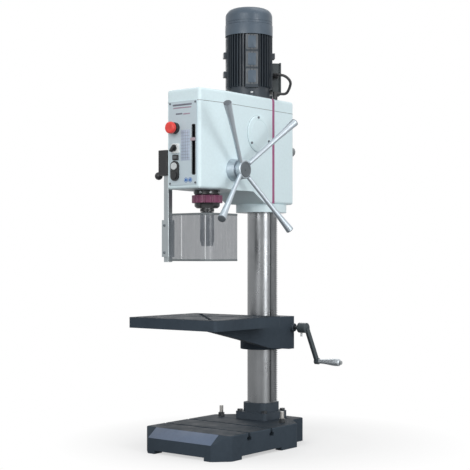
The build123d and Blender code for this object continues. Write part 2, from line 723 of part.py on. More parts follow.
with BuildPart() as depth_pointer:
    block(front(FACE + 28), (DEPTH_SLOT[0], 1216), 9, 8, 34)
    block(front(FACE - 3), (DEPTH_SLOT[0], 1216), 20, 12, 6, 2)
finish_piece(depth_pointer.part, "depth_pointer")

with BuildPart() as screws:
    for x in (-64, 64):
        for z in (PANEL_LOW + 7, PANEL_HIGH - 7):
            disc(front(FACE), (x, z), 4, 2)
    for n in range(3):
        angle = radians(97 + 120 * n)
        disc(side(HEAD_HALF + 5.2), (-150 + 66 * cos(angle), 1262 + 66 * sin(angle)), 5, 3)
cover_screws = Compound(label="cover_screws", children=list(screws.part.solids()))
finish_piece(cover_screws, "cover_screws")

with BuildPart() as side_cover:
    disc(side(HEAD_HALF + 0.2), (-150, 1262), 74, 5)
    fillet(side_cover.faces().sort_by(Axis.X)[-1].edges(), 2)
finish_piece(side_cover.part, "side_cover")

with BuildPart() as stop_base:
    ring(front(FACE), (CONTROL_X, STOP_Z), 22, 12.1, 16)
    fillet(stop_base.faces().sort_by(Axis.Y)[0].edges().sort_by(SortBy.LENGTH)[-1], 2)
finish_piece(stop_base.part, "emergency_stop_base")

with BuildPart() as stop_button:
    disc(front(FACE - 8), (CONTROL_X, STOP_Z), 12, 16)
    disc(front(FACE - 23), (CONTROL_X, STOP_Z), 23, 16)
    fillet(stop_button.faces().sort_by(Axis.Y)[0].edges(), 7)
finish_piece(stop_button.part, "emergency_stop_button")

with BuildPart() as selector_plate:
    block(front(FACE), (CONTROL_X + 3, SELECTOR_Z), 36, 37, 5, 4)
    disc(front(FACE), (CONTROL_X, SELECTOR_Z), 7, 5, Mode.SUBTRACT)
finish_piece(selector_plate.part, "selector_plate")

with BuildPart() as selector_knob:
    disc(front(FACE - 1), (CONTROL_X, SELECTOR_Z), 6.9, 6)
    disc(front(FACE - 5.5), (CONTROL_X, SELECTOR_Z), 11, 6)
    block(front(FACE - 11), (CONTROL_X, SELECTOR_Z), 9, 32, 12, 3, turn=-42)
finish_piece(selector_knob.part, "selector_knob")

with BuildPart() as bezel:
    block(front(FACE), (CONTROL_X, (START_Z + OFF_Z) / 2), 40, 76, 8, 19)
    for z in (START_Z, OFF_Z):
        disc(front(FACE - 1), (CONTROL_X, z), 14.3, 9, Mode.SUBTRACT)
finish_piece(bezel.part, "button_bezel")

for label, z in (("start_button", START_Z), ("off_button", OFF_Z)):
    with BuildPart() as button:
        disc(front(FACE - 5), (CONTROL_X, z), 14, 8)
        chamfer(button.faces().sort_by(Axis.Y)[0].edges(), 1.2)
    finish_piece(button.part, label)

# ---- gear lever and main switch ----
with BuildPart() as gear_lever:
    disc(side(-HEAD_HALF - 24), (LEVER_Y, LEVER_Z), 14, 27)
    disc(side(-HEAD_HALF - 6), (LEVER_Y, LEVER_Z), 6, 28)
    neck_root = Vector(-HEAD_HALF - 18, LEVER_Y, LEVER_Z)
    ball = Vector(-HEAD_HALF - 110, LEVER_Y, LEVER_Z - 20)
    with BuildSketch(Plane(origin=neck_root, z_dir=ball - neck_root)):
        Circle(5)
    extrude(amount=(ball - neck_root).length - 12)
    with Locations(ball):
        Sphere(16, rotation=(0, 90, 0))
finish_piece(gear_lever.part, "gear_lever")

with BuildPart() as main_switch:
    disc(front(HEAD_REAR + 24), (72, 1209), 20, 23.5)
    fillet(main_switch.faces().sort_by(Axis.Y)[-1].edges(), 3)
finish_piece(main_switch.part, "main_switch_knob")

# ---- motor ----
with BuildPart() as motor_flange:
    ring(level(HEAD_TOP), (0, MOTOR_Y), 86, 18, MOTOR_LOW - HEAD_TOP)
    with BuildSketch(level(HEAD_TOP)):
        with Locations((0, MOTOR_Y)):
            with PolarLocations(86, 4, start_angle=45):
                Circle(13)
            Circle(80, mode=Mode.SUBTRACT)
    extrude(amount=16)
finish_piece(motor_flange.part, "motor_flange")

with BuildPart() as motor_housing:
    disc(level(MOTOR_LOW), (0, MOTOR_Y), 84, COWL_LOW - MOTOR_LOW)
    with BuildSketch(level(MOTOR_LOW + 20)):
        with Locations((0, MOTOR_Y)):
            with PolarLocations(88, 44):
                Rectangle(2 * (FIN_R - 88), 3)
    extrude(amount=COWL_LOW - MOTOR_LOW - 26)
    # plain pads for the feet, the ties and the terminal box
    with BuildSketch(level(MOTOR_LOW + 14)):
        with Locations((0, MOTOR_Y)):
            with PolarLocations(86, 4, start_angle=-45):
                Rectangle(16, 54)
    extrude(amount=COWL_LOW - MOTOR_LOW - 28)
    # lugs for another mounting position
    for turn, z in ((45, 1583), (225, 1505), (225, 1583)):
        reach = radians(turn)
        block(level(z), (98 * cos(reach), MOTOR_Y + 98 * sin(reach)), 16, 40, 22, 3, turn=turn)
    disc(level(MOTOR_LOW), (0, MOTOR_Y), 72, COWL_LOW - MOTOR_LOW - 16, Mode.SUBTRACT)
    disc(level(MOTOR_LOW), (0, MOTOR_Y), 14, COWL_LOW, Mode.SUBTRACT)
finish_piece(motor_housing.part, "motor_housing")

with BuildPart() as motor_stator:
    ring(level(MOTOR_LOW + 30), (0, MOTOR_Y), 72, 48, 130)
finish_piece(motor_stator.part, "motor_stator")

with BuildPart() as motor_rotor:
    disc(level(LEVEL_1 - 4), (0, MOTOR_Y), 12, 400)
    disc(level(MOTOR_LOW + 30), (0, MOTOR_Y), 47.4, 130)
    gear(level(LEVEL_1 - 1), TEETH_A, MODULE, (0, MOTOR_Y), TOWARDS_FRONT, GEAR_W + 2)
finish_piece(motor_rotor.part, "motor_rotor")

with BuildPart() as cooling_fan:
    ring(level(1700), (0, MOTOR_Y), 22, 12, 34)
    with BuildSketch(level(1700)):
        with Locations((0, MOTOR_Y)):
            with PolarLocations(52, 9):
                Rectangle(66, 3)
    extrude(amount=34)
    ring(level(1700), (0, MOTOR_Y), 84, 12, 3)
finish_piece(cooling_fan.part, "cooling_fan")

COWL_STEP_Z = 1716
DOME_R = 34
DOME_MID = (COWL_R - 1.5 - DOME_R, MOTOR_TOP - DOME_R)
COWL_WALL = 2.8


def dome(radius):
    """Quarter circle from the side of the cowl to its flat top."""
    x, z = DOME_MID
    diagonal = radius * cos(radians(45))
    ThreePointArc((x + radius, z), (x + diagonal, z + diagonal), (x, z + radius))


with BuildPart() as motor_cowl:
    with BuildSketch(Plane.XZ.offset(-MOTOR_Y)):
        with BuildLine():
            dome(DOME_R)
            Polyline(
                (DOME_MID[0], MOTOR_TOP),
                (0, MOTOR_TOP),
                (0, MOTOR_TOP - COWL_WALL),
                (DOME_MID[0], MOTOR_TOP - COWL_WALL),
            )
            dome(DOME_R - COWL_WALL)
            Polyline(
                (COWL_R - 1.5 - COWL_WALL, DOME_MID[1]),
                (COWL_R - 1.5 - COWL_WALL, COWL_STEP_Z + 2),
                (COWL_R - COWL_WALL, COWL_STEP_Z),
                (COWL_R - COWL_WALL, COWL_LOW - 8),
                (COWL_R, COWL_LOW - 8),
                (COWL_R, COWL_STEP_Z),
                (COWL_R - 1.5, COWL_STEP_Z + 2),
                (COWL_R - 1.5, DOME_MID[1]),
            )
        make_face()
    revolve(axis=Axis((0, MOTOR_Y, 0), (0, 0, 1)))
    with BuildSketch(level(MOTOR_TOP - 10)):
        with Locations((0, MOTOR_Y)):
            with PolarLocations(42, 16):
                SlotOverall(34, 5)
    extrude(amount=20, mode=Mode.SUBTRACT)
finish_piece(motor_cowl.part, "motor_cowl")

# ---- terminal box, glands and lead ----
BOX_R = (90, 134)
BOX_T = (-78, 2)
BOX_Z = (1441.5, 1567)
GLAND_R = 111
GLAND_Z = 1514
ELBOW = (106, 22)


HALF_ROOT = cos(radians(45))
OUT = Vector(HALF_ROOT, HALF_ROOT, 0)
ACROSS = Vector(HALF_ROOT, -HALF_ROOT, 0)


def around_motor(out, along, z=0):
    """Point at a distance out from the motor towards the rear right, and along across it."""
    return Vector(0, MOTOR_Y, z) + out * OUT + along * ACROSS



BOX_MID = around_motor(sum(BOX_R) / 2 - 4, sum(BOX_T) / 2)

with BuildPart() as terminal_box:
    block(
        level(BOX_Z[0]), (BOX_MID.X, BOX_MID.Y), BOX_R[1] - BOX_R[0] - 8, BOX_T[1] - BOX_T[0],
        BOX_Z[1] - BOX_Z[0], 4, turn=45,
    )
    disc(level(MOTOR_LOW), (0, MOTOR_Y), FIN_R + 3.5, COWL_LOW, Mode.SUBTRACT)
finish_piece(terminal_box.part, "terminal_box")

LID_MID = around_motor(BOX_R[1] - 3.8, sum(BOX_T) / 2)
with BuildPart() as terminal_lid:
    block(
        level(BOX_Z[0] - 2), (LID_MID.X, LID_MID.Y), 7.6, BOX_T[1] - BOX_T[0] + 4,
        BOX_Z[1] - BOX_Z[0] + 4, 2, turn=45,
    )
finish_piece(terminal_lid.part, "terminal_box_lid")

LEAD_R = 5.5
ELBOW_Z = 1438
gland_1 = Plane(origin=around_motor(GLAND_R, BOX_T[1] + 0.1, GLAND_Z), z_dir=ACROSS)
elbow_root = around_motor(*ELBOW)
gland_2 = Plane(origin=around_motor(ELBOW[0] + 8, ELBOW[1], ELBOW_Z), z_dir=OUT)
with BuildPart() as glands:
    with BuildSketch(gland_1):
        RegularPolygon(12, 6, major_radius=False)
    extrude(amount=9)
    with BuildSketch(gland_1.offset(9)):
        Circle(11)
    extrude(amount=13, taper=12)
    disc(level(HEAD_TOP + 0.1), (elbow_root.X, elbow_root.Y), 9.5, ELBOW_Z - HEAD_TOP + 8)
    with BuildSketch(gland_2.offset(-8)):
        Circle(8.5)
    extrude(amount=20, taper=4)
cable_glands = Compound(label="cable_glands", children=list(glands.part.solids()))
finish_piece(cable_glands, "cable_glands")

LEAD_POINTS = [
    around_motor(GLAND_R, BOX_T[1] + 22.1, GLAND_Z),
    around_motor(GLAND_R, BOX_T[1] + 46, GLAND_Z),
    around_motor(GLAND_R + 30, BOX_T[1] + 68, GLAND_Z - 8),
    around_motor(GLAND_R + 54, BOX_T[1] + 66, GLAND_Z - 32),
    around_motor(GLAND_R + 50, BOX_T[1] + 42, GLAND_Z - 58),
    around_motor(ELBOW[0] + 46, ELBOW[1], ELBOW_Z),
    around_motor(ELBOW[0] + 20, ELBOW[1], ELBOW_Z),
]


def bend_radii(points):
    """Largest arcs that the runs beside each corner allow."""
    radii = []
    for before, corner, after in zip(points, points[1:], points[2:]):
        first, second = corner - before, after - corner
        half_turn = radians(first.get_angle(second)) / 2
        radii.append(0.45 * min(first.length, second.length) / tan(half_turn))
    return radii


LEAD_BENDS = bend_radii(LEAD_POINTS)
with BuildPart() as motor_cable:
    with BuildLine() as lead:
        FilletPolyline(*LEAD_POINTS, radius=LEAD_BENDS)
    with BuildSketch(Plane(origin=lead.line @ 0, z_dir=lead.line % 0)):
        Circle(LEAD_R)
    sweep()
finish_piece(motor_cable.part, "motor_cable")
print("lead bend radii", [round(r, 1) for r in LEAD_BENDS])
lead_length = lead.wires()[0].length
print("lead length", round(lead_length, 1))
print("lead volume over section times length", motor_cable.part.volume / (pi * LEAD_R**2 * lead_length))

# ---- chuck guard ----
with BuildPart() as guard_switch_box:
    block(level(POST_TOP + 7), (POST_X - 10.5, POST_Y), 46, 44, 99, 4)
    disc(level(POST_TOP), (POST_X, POST_Y), 8 + RUN, 60, Mode.SUBTRACT)
    prism(
        level(POST_TOP + 12),
        [(-104, -474), (-85.8, -474), (-91.2, -434), (-104, -434)],
        88,
    )
finish_piece(guard_switch_box.part, "guard_switch_box")

with BuildPart() as guard_post:
    block(level(POST_LOW), (POST_X, POST_Y), POST_W, POST_W, POST_TOP + 6 - POST_LOW, 3)
    disc(level(POST_TOP), (POST_X, POST_Y), 8, 58)
finish_piece(guard_post.part, "guard_post")

BRACKET_LOW = 767
BRACKET_HIGH = 912
GAP = POST_W / 2 + 0.4
with BuildPart() as guard_bracket:
    with BuildSketch(level(BRACKET_LOW)):
        with Locations((POST_X, POST_Y)):
            RectangleRounded(POST_W + 12, POST_W + 12, 3)
            Rectangle(POST_W + 0.8, POST_W + 0.8, mode=Mode.SUBTRACT)
    extrude(amount=BRACKET_HIGH - BRACKET_LOW)
finish_piece(guard_bracket.part, "guard_bracket")

SHIELD_START = POST_X + GAP + 6.2
with BuildPart() as guard_shield:
    with BuildSketch(level(SHIELD_LOW)):
        with BuildLine():
            FilletPolyline(
                (SHIELD_START, POST_Y - 12), (100, POST_Y - 12), (100, -289), radius=40
            )
            offset(amount=SHIELD_T, side=Side.LEFT)
        make_face()
    extrude(amount=SHIELD_TOP - SHIELD_LOW)
finish_piece(guard_shield.part, "guard_shield")
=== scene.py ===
import json
import math

import bmesh
import bpy
import numpy as np
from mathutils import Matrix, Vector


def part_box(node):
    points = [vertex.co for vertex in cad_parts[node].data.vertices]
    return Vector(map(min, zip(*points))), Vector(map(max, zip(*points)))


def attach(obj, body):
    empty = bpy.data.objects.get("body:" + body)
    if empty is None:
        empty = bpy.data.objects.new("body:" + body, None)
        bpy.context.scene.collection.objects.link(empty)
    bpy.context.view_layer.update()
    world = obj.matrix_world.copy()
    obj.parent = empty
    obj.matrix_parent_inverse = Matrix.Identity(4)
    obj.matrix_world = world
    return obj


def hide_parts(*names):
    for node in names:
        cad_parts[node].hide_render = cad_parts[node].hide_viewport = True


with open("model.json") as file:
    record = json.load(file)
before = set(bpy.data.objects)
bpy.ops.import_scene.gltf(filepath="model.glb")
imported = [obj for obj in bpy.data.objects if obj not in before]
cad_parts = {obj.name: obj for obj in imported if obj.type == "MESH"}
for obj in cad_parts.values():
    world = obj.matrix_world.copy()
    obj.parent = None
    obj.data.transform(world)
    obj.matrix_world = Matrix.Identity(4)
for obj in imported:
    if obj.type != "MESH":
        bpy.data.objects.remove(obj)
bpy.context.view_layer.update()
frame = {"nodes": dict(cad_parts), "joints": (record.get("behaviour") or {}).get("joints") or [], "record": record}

# Geared pillar drilling machine. Metres; the floor is z = 0, the column stands on x = y = 0
# and the operator stands at -y.
NODES = frame["nodes"]
JOINTS = {joint["name"]: joint for joint in frame["joints"]}
MM = 0.001


def middle(node):
    """Centre of a CAD node's box."""
    low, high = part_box(node)
    return (np.array(low) + np.array(high)) / 2


def low(node):
    """Lowest corner of a CAD node's box."""
    return np.array(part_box(node)[0])


def high(node):
    """Highest corner of a CAD node's box."""
    return np.array(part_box(node)[1])


# ---------------------------------------------------------------- finishes
def new_material(name):
    """An empty material with a Principled shader."""
    material = bpy.data.materials.new(name)
    material.use_nodes = True
    tree = material.node_tree
    shader = tree.nodes["Principled BSDF"]
    return material, tree, shader


def object_mapping(tree, scale=(1, 1, 1), turn=(0, 0, 0)):
    """Object coordinates, stretched and turned for a pattern."""
    place = tree.nodes.new("ShaderNodeTexCoord")
    mapping = tree.nodes.new("ShaderNodeMapping")
    mapping.inputs["Scale"].default_value = scale
    mapping.inputs["Rotation"].default_value = turn
    tree.links.new(place.outputs["Object"], mapping.inputs["Vector"])
    return mapping.outputs["Vector"]


def noise(tree, vector, scale, detail=4.0, roughness=0.55):
    """Noise pattern between 0 and 1, finer as scale grows."""
    texture = tree.nodes.new("ShaderNodeTexNoise")
    texture.inputs["Scale"].default_value = scale
    texture.inputs["Detail"].default_value = detail
    texture.inputs["Roughness"].default_value = roughness
    tree.links.new(vector, texture.inputs["Vector"])
    return texture.outputs["Fac"]


def stretch(tree, value, start, end, source=(0.0, 1.0)):
    """Maps the source range of a value onto start to end, and holds the ends beyond it."""
    span = tree.nodes.new("ShaderNodeMapRange")
    span.inputs["From Min"].default_value, span.inputs["From Max"].default_value = source
    span.inputs["To Min"].default_value = start
    span.inputs["To Max"].default_value = end
    tree.links.new(value, span.inputs["Value"])
    return span.outputs["Result"]


def spread(tree, value, start, end):
    """Stretches a noise's useful middle over start to end."""
    return stretch(tree, value, start, end, source=(0.3, 0.7))


def calculate(tree, operation, *values):
    """One Math node, whose values are numbers or other nodes' outputs."""
    node = tree.nodes.new("ShaderNodeMath")
    node.operation = operation
    for socket, value in zip(node.inputs, values):
        if isinstance(value, (int, float)):
            socket.default_value = value
        else:
            tree.links.new(value, socket)
    return node.outputs[0]


def blend_colours(tree, factor, first, second):
    """Mixes two colours, either of which may be another node's output."""
    mix = tree.nodes.new("ShaderNodeMix")
    mix.data_type = "RGBA"
    tree.links.new(factor, mix.inputs["Factor"])
    for socket, colour in (("A", first), ("B", second)):
        slot = [s for s in mix.inputs if s.name == socket and s.type == "RGBA"][0]
        if isinstance(colour, tuple):
            slot.default_value = (*colour, 1)
        else:
            tree.links.new(colour, slot)
    return [s for s in mix.outputs if s.type == "RGBA"][0]


def roughen(tree, shader, height, strength, distance):
    """Bump from a height pattern, distance in metres."""
    bump = tree.nodes.new("ShaderNodeBump")
    bump.inputs["Strength"].default_value = strength
    bump.inputs["Distance"].default_value = distance
    tree.links.new(height, bump.inputs["Height"])
    tree.links.new(bump.outputs["Normal"], shader.inputs["Normal"])


def shade(colour, factor):
    """Each part of a colour times a factor."""
    return tuple(c * factor for c in colour)


def enamel(name, colour, rough=0.35, drift=0.08, peel=0.12, coat=0.0):
    """Sprayed paint: slow drift of colour, fine orange peel, patchy gloss."""
    material, tree, shader = new_material(name)
    vector = object_mapping(tree)
    slow = noise(tree, vector, 5.0)
    fine = noise(tree, vector, 260.0, 2.0)
    slow = spread(tree, slow, 0, 1)
    tone = blend_colours(tree, slow, shade(colour, 1 - drift), shade(colour, 1 + drift))
    speck = spread(tree, noise(tree, vector, 90.0, 6.0), 0.0, 0.25)
    tree.links.new(blend_colours(tree, speck, tone, shade(colour, 0.82)), shader.inputs["Base Color"])
    gloss = spread(tree, noise(tree, vector, 22.0), rough - 0.06, rough + 0.08)
    tree.links.new(gloss, shader.inputs["Roughness"])
    shader.inputs["Coat Weight"].default_value = coat
    shader.inputs["Coat Roughness"].default_value = 0.15
    roughen(tree, shader, fine, peel, 0.0006)
    return material


def painted_casting(name, colour, rough=0.5, gloss=0.25, worked_and_shaded=None):
    """Filled and painted cast iron: shallow waves under the paint, a slow drift of tone and patches of dust.

    Above the height given as its last argument the face is machined and dull with oil, and its colour there is
    darkened further as painted shade.
    """
    material, tree, shader = new_material(name)
    vector = object_mapping(tree)
    waves = noise(tree, vector, 18.0, 5.0)
    grain = noise(tree, vector, 240.0, 3.0)
    drift = spread(tree, noise(tree, vector, 4.0, 6.0), 0, 1)
    tone = blend_colours(tree, drift, shade(colour, 0.86), shade(colour, 1.16))
    dust = spread(tree, noise(tree, vector, 55.0, 8.0, 0.7), 0.0, 0.22)
    tone = blend_colours(tree, dust, tone, shade(colour, 1.7))
    shader.inputs["Specular IOR Level"].default_value = gloss
    if worked_and_shaded is not None:
        split = tree.nodes.new("ShaderNodeSeparateXYZ")
        tree.links.new(vector, split.inputs["Vector"])
        above = calculate(tree, "GREATER_THAN", split.outputs["Z"], worked_and_shaded)
        stain = spread(tree, noise(tree, vector, 9.0, 7.0, 0.65), 0, 1)
        # machined top: oil stains, darkened further as painted shade
        oiled_and_shaded = blend_colours(tree, stain, shade(colour, 0.46), shade(colour, 0.78))
        tone = blend_colours(tree, above, tone, oiled_and_shaded)
    tree.links.new(tone, shader.inputs["Base Color"])
    tree.links.new(spread(tree, waves, rough - 0.08, rough + 0.14), shader.inputs["Roughness"])
    height = calculate(tree, "MULTIPLY_ADD", grain, 0.25, waves)
    roughen(tree, shader, height, 0.28, 0.0016)
    return material


def bare_metal(name, colour, rough=0.3, lay=(1, 1, 1), marks=0.12, grain=0.12):
    """Machined metal: fine scratches stretched along the lay, and patchy oil."""
    material, tree, shader = new_material(name)
    lines = noise(tree, object_mapping(tree, lay), 380.0, 3.0)
    patch = noise(tree, object_mapping(tree), 14.0, 6.0)
    scratches = spread(tree, lines, 0, 1)
    tone = blend_colours(tree, scratches, shade(colour, 1 - marks), shade(colour, 1 + marks))
    oil = spread(tree, patch, 0.0, 0.3)
    tree.links.new(blend_colours(tree, oil, tone, shade(colour, 0.72)), shader.inputs["Base Color"])
    tree.links.new(spread(tree, patch, rough - 0.06, rough + 0.1), shader.inputs["Roughness"])
    shader.inputs["Metallic"].default_value = 1.0
    roughen(tree, shader, lines, grain, 0.0003)
    return material


def moulding(name, colour, rough=0.45, grain=0.2):
    """Moulded plastic: fine spark-eroded grain and handling gloss."""
    material, tree, shader = new_material(name)
    vector = object_mapping(tree)
    cloud = spread(tree, noise(tree, vector, 30.0), 0, 1)
    tone = blend_colours(tree, cloud, shade(colour, 0.85), shade(colour, 1.15))
    tree.links.new(tone, shader.inputs["Base Color"])
    handled = spread(tree, noise(tree, vector, 25.0), rough - 0.08, rough + 0.08)
    tree.links.new(handled, shader.inputs["Roughness"])
    roughen(tree, shader, noise(tree, vector, 900.0, 2.0), grain, 0.0002)
    return material


def clear_sheet(name, colour, opacity):
    """Scuffed clear plastic sheet: mostly see-through, with a grey cast and faint scratches."""
    material, tree, shader = new_material(name)
    scuffs = noise(tree, object_mapping(tree, (1, 1, 0.08)), 120.0, 8.0, 0.7)
    tree.links.new(
        blend_colours(tree, spread(tree, scuffs, 0, 1), shade(colour, 0.9), shade(colour, 1.1)),
        shader.inputs["Base Color"],
    )
    tree.links.new(spread(tree, scuffs, opacity - 0.06, opacity + 0.06), shader.inputs["Alpha"])
    tree.links.new(spread(tree, scuffs, 0.2, 0.32), shader.inputs["Roughness"])
    return material


# height of the nuts' tops, and how far the bolts of the column foot reach to each side
NUT_TOP = 0.1135
FOOT_BOLT_REACH = 0.085


def anchor_finish():
    """Studs bright above the tops of their nuts; everything lower, and the foot bolts, is black paint."""
    material = bare_metal("anchor_steel", (0.50, 0.49, 0.47), 0.38)
    tree = material.node_tree
    shader = tree.nodes["Principled BSDF"]
    steel = shader.inputs["Base Color"].links[0].from_socket
    place = tree.nodes.new("ShaderNodeTexCoord")
    split = tree.nodes.new("ShaderNodeSeparateXYZ")
    tree.links.new(place.outputs["Object"], split.inputs["Vector"])
    above_nut = calculate(tree, "GREATER_THAN", split.outputs["Z"], NUT_TOP)
    on_foot = calculate(tree, "COMPARE", split.outputs["X"], 0.0, FOOT_BOLT_REACH)
    bare = calculate(tree, "MULTIPLY", above_nut, calculate(tree, "SUBTRACT", 1.0, on_foot))
    painted = (0.022, 0.026, 0.03)
    tree.links.new(blend_colours(tree, bare, painted, steel), shader.inputs["Base Color"])
    tree.links.new(bare, shader.inputs["Metallic"])
    return material


FINISH = {
    "grey_casting": painted_casting("grey_casting_paint", (0.040, 0.053, 0.068)),
    "zinc_steel": bare_metal("zinc_plate", (0.45, 0.47, 0.48), 0.36),
    "ground_steel": bare_metal("ground_steel", (0.26, 0.27, 0.28), 0.3, (1, 1, 0.02), 0.05, 0.02),
    "chuck_steel": bare_metal("chuck_steel", (0.30, 0.31, 0.32), 0.32, (0.05, 0.05, 1.0), 0.1, 0.05),
    "black_steel": enamel("blackened_steel", (0.012, 0.014, 0.016), 0.3, 0.2, 0.08),
    "silver_handle": bare_metal("turned_aluminium", (0.50, 0.56, 0.61), 0.43, (0.3, 0.3, 0.3), 0.04, 0.03),
    "white_enamel": enamel("white_enamel", (0.71, 0.855, 0.90), 0.42, 0.015, 0.06, 0.1),
    "panel_grey": enamel("panel_grey", (0.545, 0.645, 0.70), 0.4, 0.02, 0.04),
    "black_plastic": moulding("black_plastic", (0.016, 0.017, 0.019)),
    "lead_sheath": moulding("lead_sheath", (0.03, 0.031, 0.034), 0.55, 0.3),
    "red_plastic": moulding("red_plastic", (0.80, 0.060, 0.050), 0.32, 0.05),
    "magenta_enamel": enamel("magenta_enamel", (0.20, 0.038, 0.105), 0.36, 0.1),
    "pale_plastic": moulding("pale_plastic", (0.62, 0.66, 0.68), 0.35, 0.05),
    "motor_grey": painted_casting("motor_paint", (0.066, 0.092, 0.122), 0.36, 0.4),
    "motor_steel": bare_metal("laminated_steel", (0.28, 0.27, 0.26), 0.45, (0.05, 0.05, 6.0), 0.2),
    "guard_aluminium": bare_metal("anodised_aluminium", (0.40, 0.44, 0.46), 0.4, (1, 1, 0.05), 0.04, 0.03),
    "guard_clear": clear_sheet("clear_sheet", (0.155, 0.175, 0.20), 0.54),
}
# darker than the cowl's paint: painted shade of the fins on the motor's body and flange
SHADED_MOTOR = painted_casting("motor_body_shaded_paint", (0.024, 0.033, 0.043), 0.4, 0.4)
MOTOR_BOX = moulding("terminal_box_black", (0.022, 0.033, 0.038), 0.45)
GRIP_METAL = bare_metal("grip_aluminium", (0.50, 0.54, 0.57), 0.55, (0.3, 0.3, 0.3), 0.04, 0.03)
CRANK_PAINT = painted_casting("crank_paint", (0.055, 0.070, 0.078), 0.35)
WHITE_PLATE = moulding("white_plate", (0.80, 0.84, 0.85), 0.35, 0.05)
DARK_CHUCK = bare_metal("chuck_grip_steel", (0.14, 0.145, 0.15), 0.42, (0.05, 0.05, 1.0), 0.1, 0.05)
ARM_END = bare_metal("arm_end_steel", (0.16, 0.18, 0.20), 0.45)
POINTER_GREY = moulding("pointer_grey", (0.42, 0.34, 0.38), 0.4)
SWITCH_GREY = moulding("switch_grey", (0.20, 0.22, 0.23), 0.4)
# lighter blue-grey for the base's sloping nose: painted highlight
BEVEL_HIGHLIGHT = painted_casting("bevel_highlight_paint", (0.115, 0.150, 0.215), 0.5)
EDGE_GREY = moulding("edge_grey", (0.14, 0.16, 0.17), 0.5)
# whitish clear strips on the shield: painted highlights
HIGHLIGHT_SHEET = clear_sheet("painted_highlight_sheet", (0.85, 0.88, 0.90), 0.75)
CHART_PRINT = enamel("chart_print", (0.46, 0.54, 0.66), 0.42, 0.03, 0.04)
BLUE_PRINT = enamel("blue_print", (0.06, 0.17, 0.45), 0.45, 0.05)
SEAM_SHADOW_GREY = moulding("seam_shadow_grey", (0.30, 0.34, 0.36), 0.6)
DARK_SEAM = moulding("dark_seam", (0.10, 0.11, 0.12), 0.6)
PRINT_GREY = moulding("grey_print", (0.16, 0.17, 0.21), 0.5)
PRINT_MAUVE = moulding("mauve_print", (0.36, 0.27, 0.34), 0.5)
STRIPE = enamel("stripe_enamel", (0.34, 0.08, 0.20), 0.4, 0.05)

# the base and the table are machined above these heights, and painted darker there as shade
BASE_FACE_Z = 0.0955
TABLE_FACE_Z = 0.5312
CASTING_GREY = (0.040, 0.054, 0.070)
NODE_FINISH = {
    "base_plate": painted_casting("base_paint", CASTING_GREY, 0.6, 0.08, worked_and_shaded=BASE_FACE_Z),
    "table_casting": painted_casting("table_paint", CASTING_GREY, 0.6, 0.08, worked_and_shaded=TABLE_FACE_Z),
    "motor_housing": SHADED_MOTOR,
    "motor_flange": SHADED_MOTOR,
    "terminal_box": MOTOR_BOX,
    "terminal_box_lid": MOTOR_BOX,
    "crank_arm": CRANK_PAINT,
    "crank_grip": GRIP_METAL,
    "selector_plate": WHITE_PLATE,
    "depth_pointer": POINTER_GREY,
    "main_switch_knob": SWITCH_GREY,
    "cover_screws": ARM_END,
    "floor_fasteners": anchor_finish(),
}
SLOT_OF = {row["node"]: row["material_slot"] for row in frame["record"]["subparts"]}
for node_name, node_object in NODES.items():
    finish = NODE_FINISH.get(node_name, FINISH[SLOT_OF[node_name]])
    node_object.data.materials.clear()
    node_object.data.materials.append(finish)


# ---------------------------------------------------------------- surfaces
SHARP_ANGLE = math.radians(32)


def add_piece(name, vertices, faces, body, slot, material=None):
    """Puts computed vertices and faces into a mesh that rides on a body."""
    mesh = bpy.data.meshes.new(name)
    mesh.from_pydata(np.asarray(vertices).tolist(), [], [list(map(int, face)) for face in faces])
    mesh.validate()
    mesh.polygons.foreach_set("use_smooth", np.ones(len(mesh.polygons), dtype=bool))
    mesh.set_sharp_from_angle(angle=SHARP_ANGLE)
    piece = bpy.data.objects.new(name, mesh)
    bpy.context.scene.collection.objects.link(piece)
    mesh.materials.append(material or FINISH[slot])
    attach(piece, body)
    return piece


def grid_faces(rows, columns, wrap):
    """Quads between rows of a grid whose columns close on themselves when wrap is true."""
    across = columns if wrap else columns - 1
    r, c = np.meshgrid(np.arange(rows - 1), np.arange(across), indexing="ij")
    r, c = r.ravel(), c.ravel()
    d = (c + 1) % columns
    return np.stack([r * columns + c, r * columns + d, (r + 1) * columns + d, (r + 1) * columns + c], 1)


def end_caps(rows, columns):
    """The two flat faces that close a grid at its first and its last row."""
    return [tuple(range(columns))[::-1], tuple((rows - 1) * columns + n for n in range(columns))]


def ring_closure(rows, columns):
    """Quads that lead from the last row of a grid back to the first."""
    last = (rows - 1) * columns
    return [(last + n, last + (n + 1) % columns, (n + 1) % columns, n) for n in range(columns)]


def frame_about(axis):
    """Two unit vectors square to an axis, so that first x second = axis."""
    axis = np.array(axis, float)
    axis /= np.linalg.norm(axis)
    helper = np.array((0, 0, 1.0)) if abs(axis[2]) < 0.9 else np.array((1.0, 0, 0))
    first = np.cross(helper, axis)
    first /= np.linalg.norm(first)
    return first, np.cross(axis, first), axis


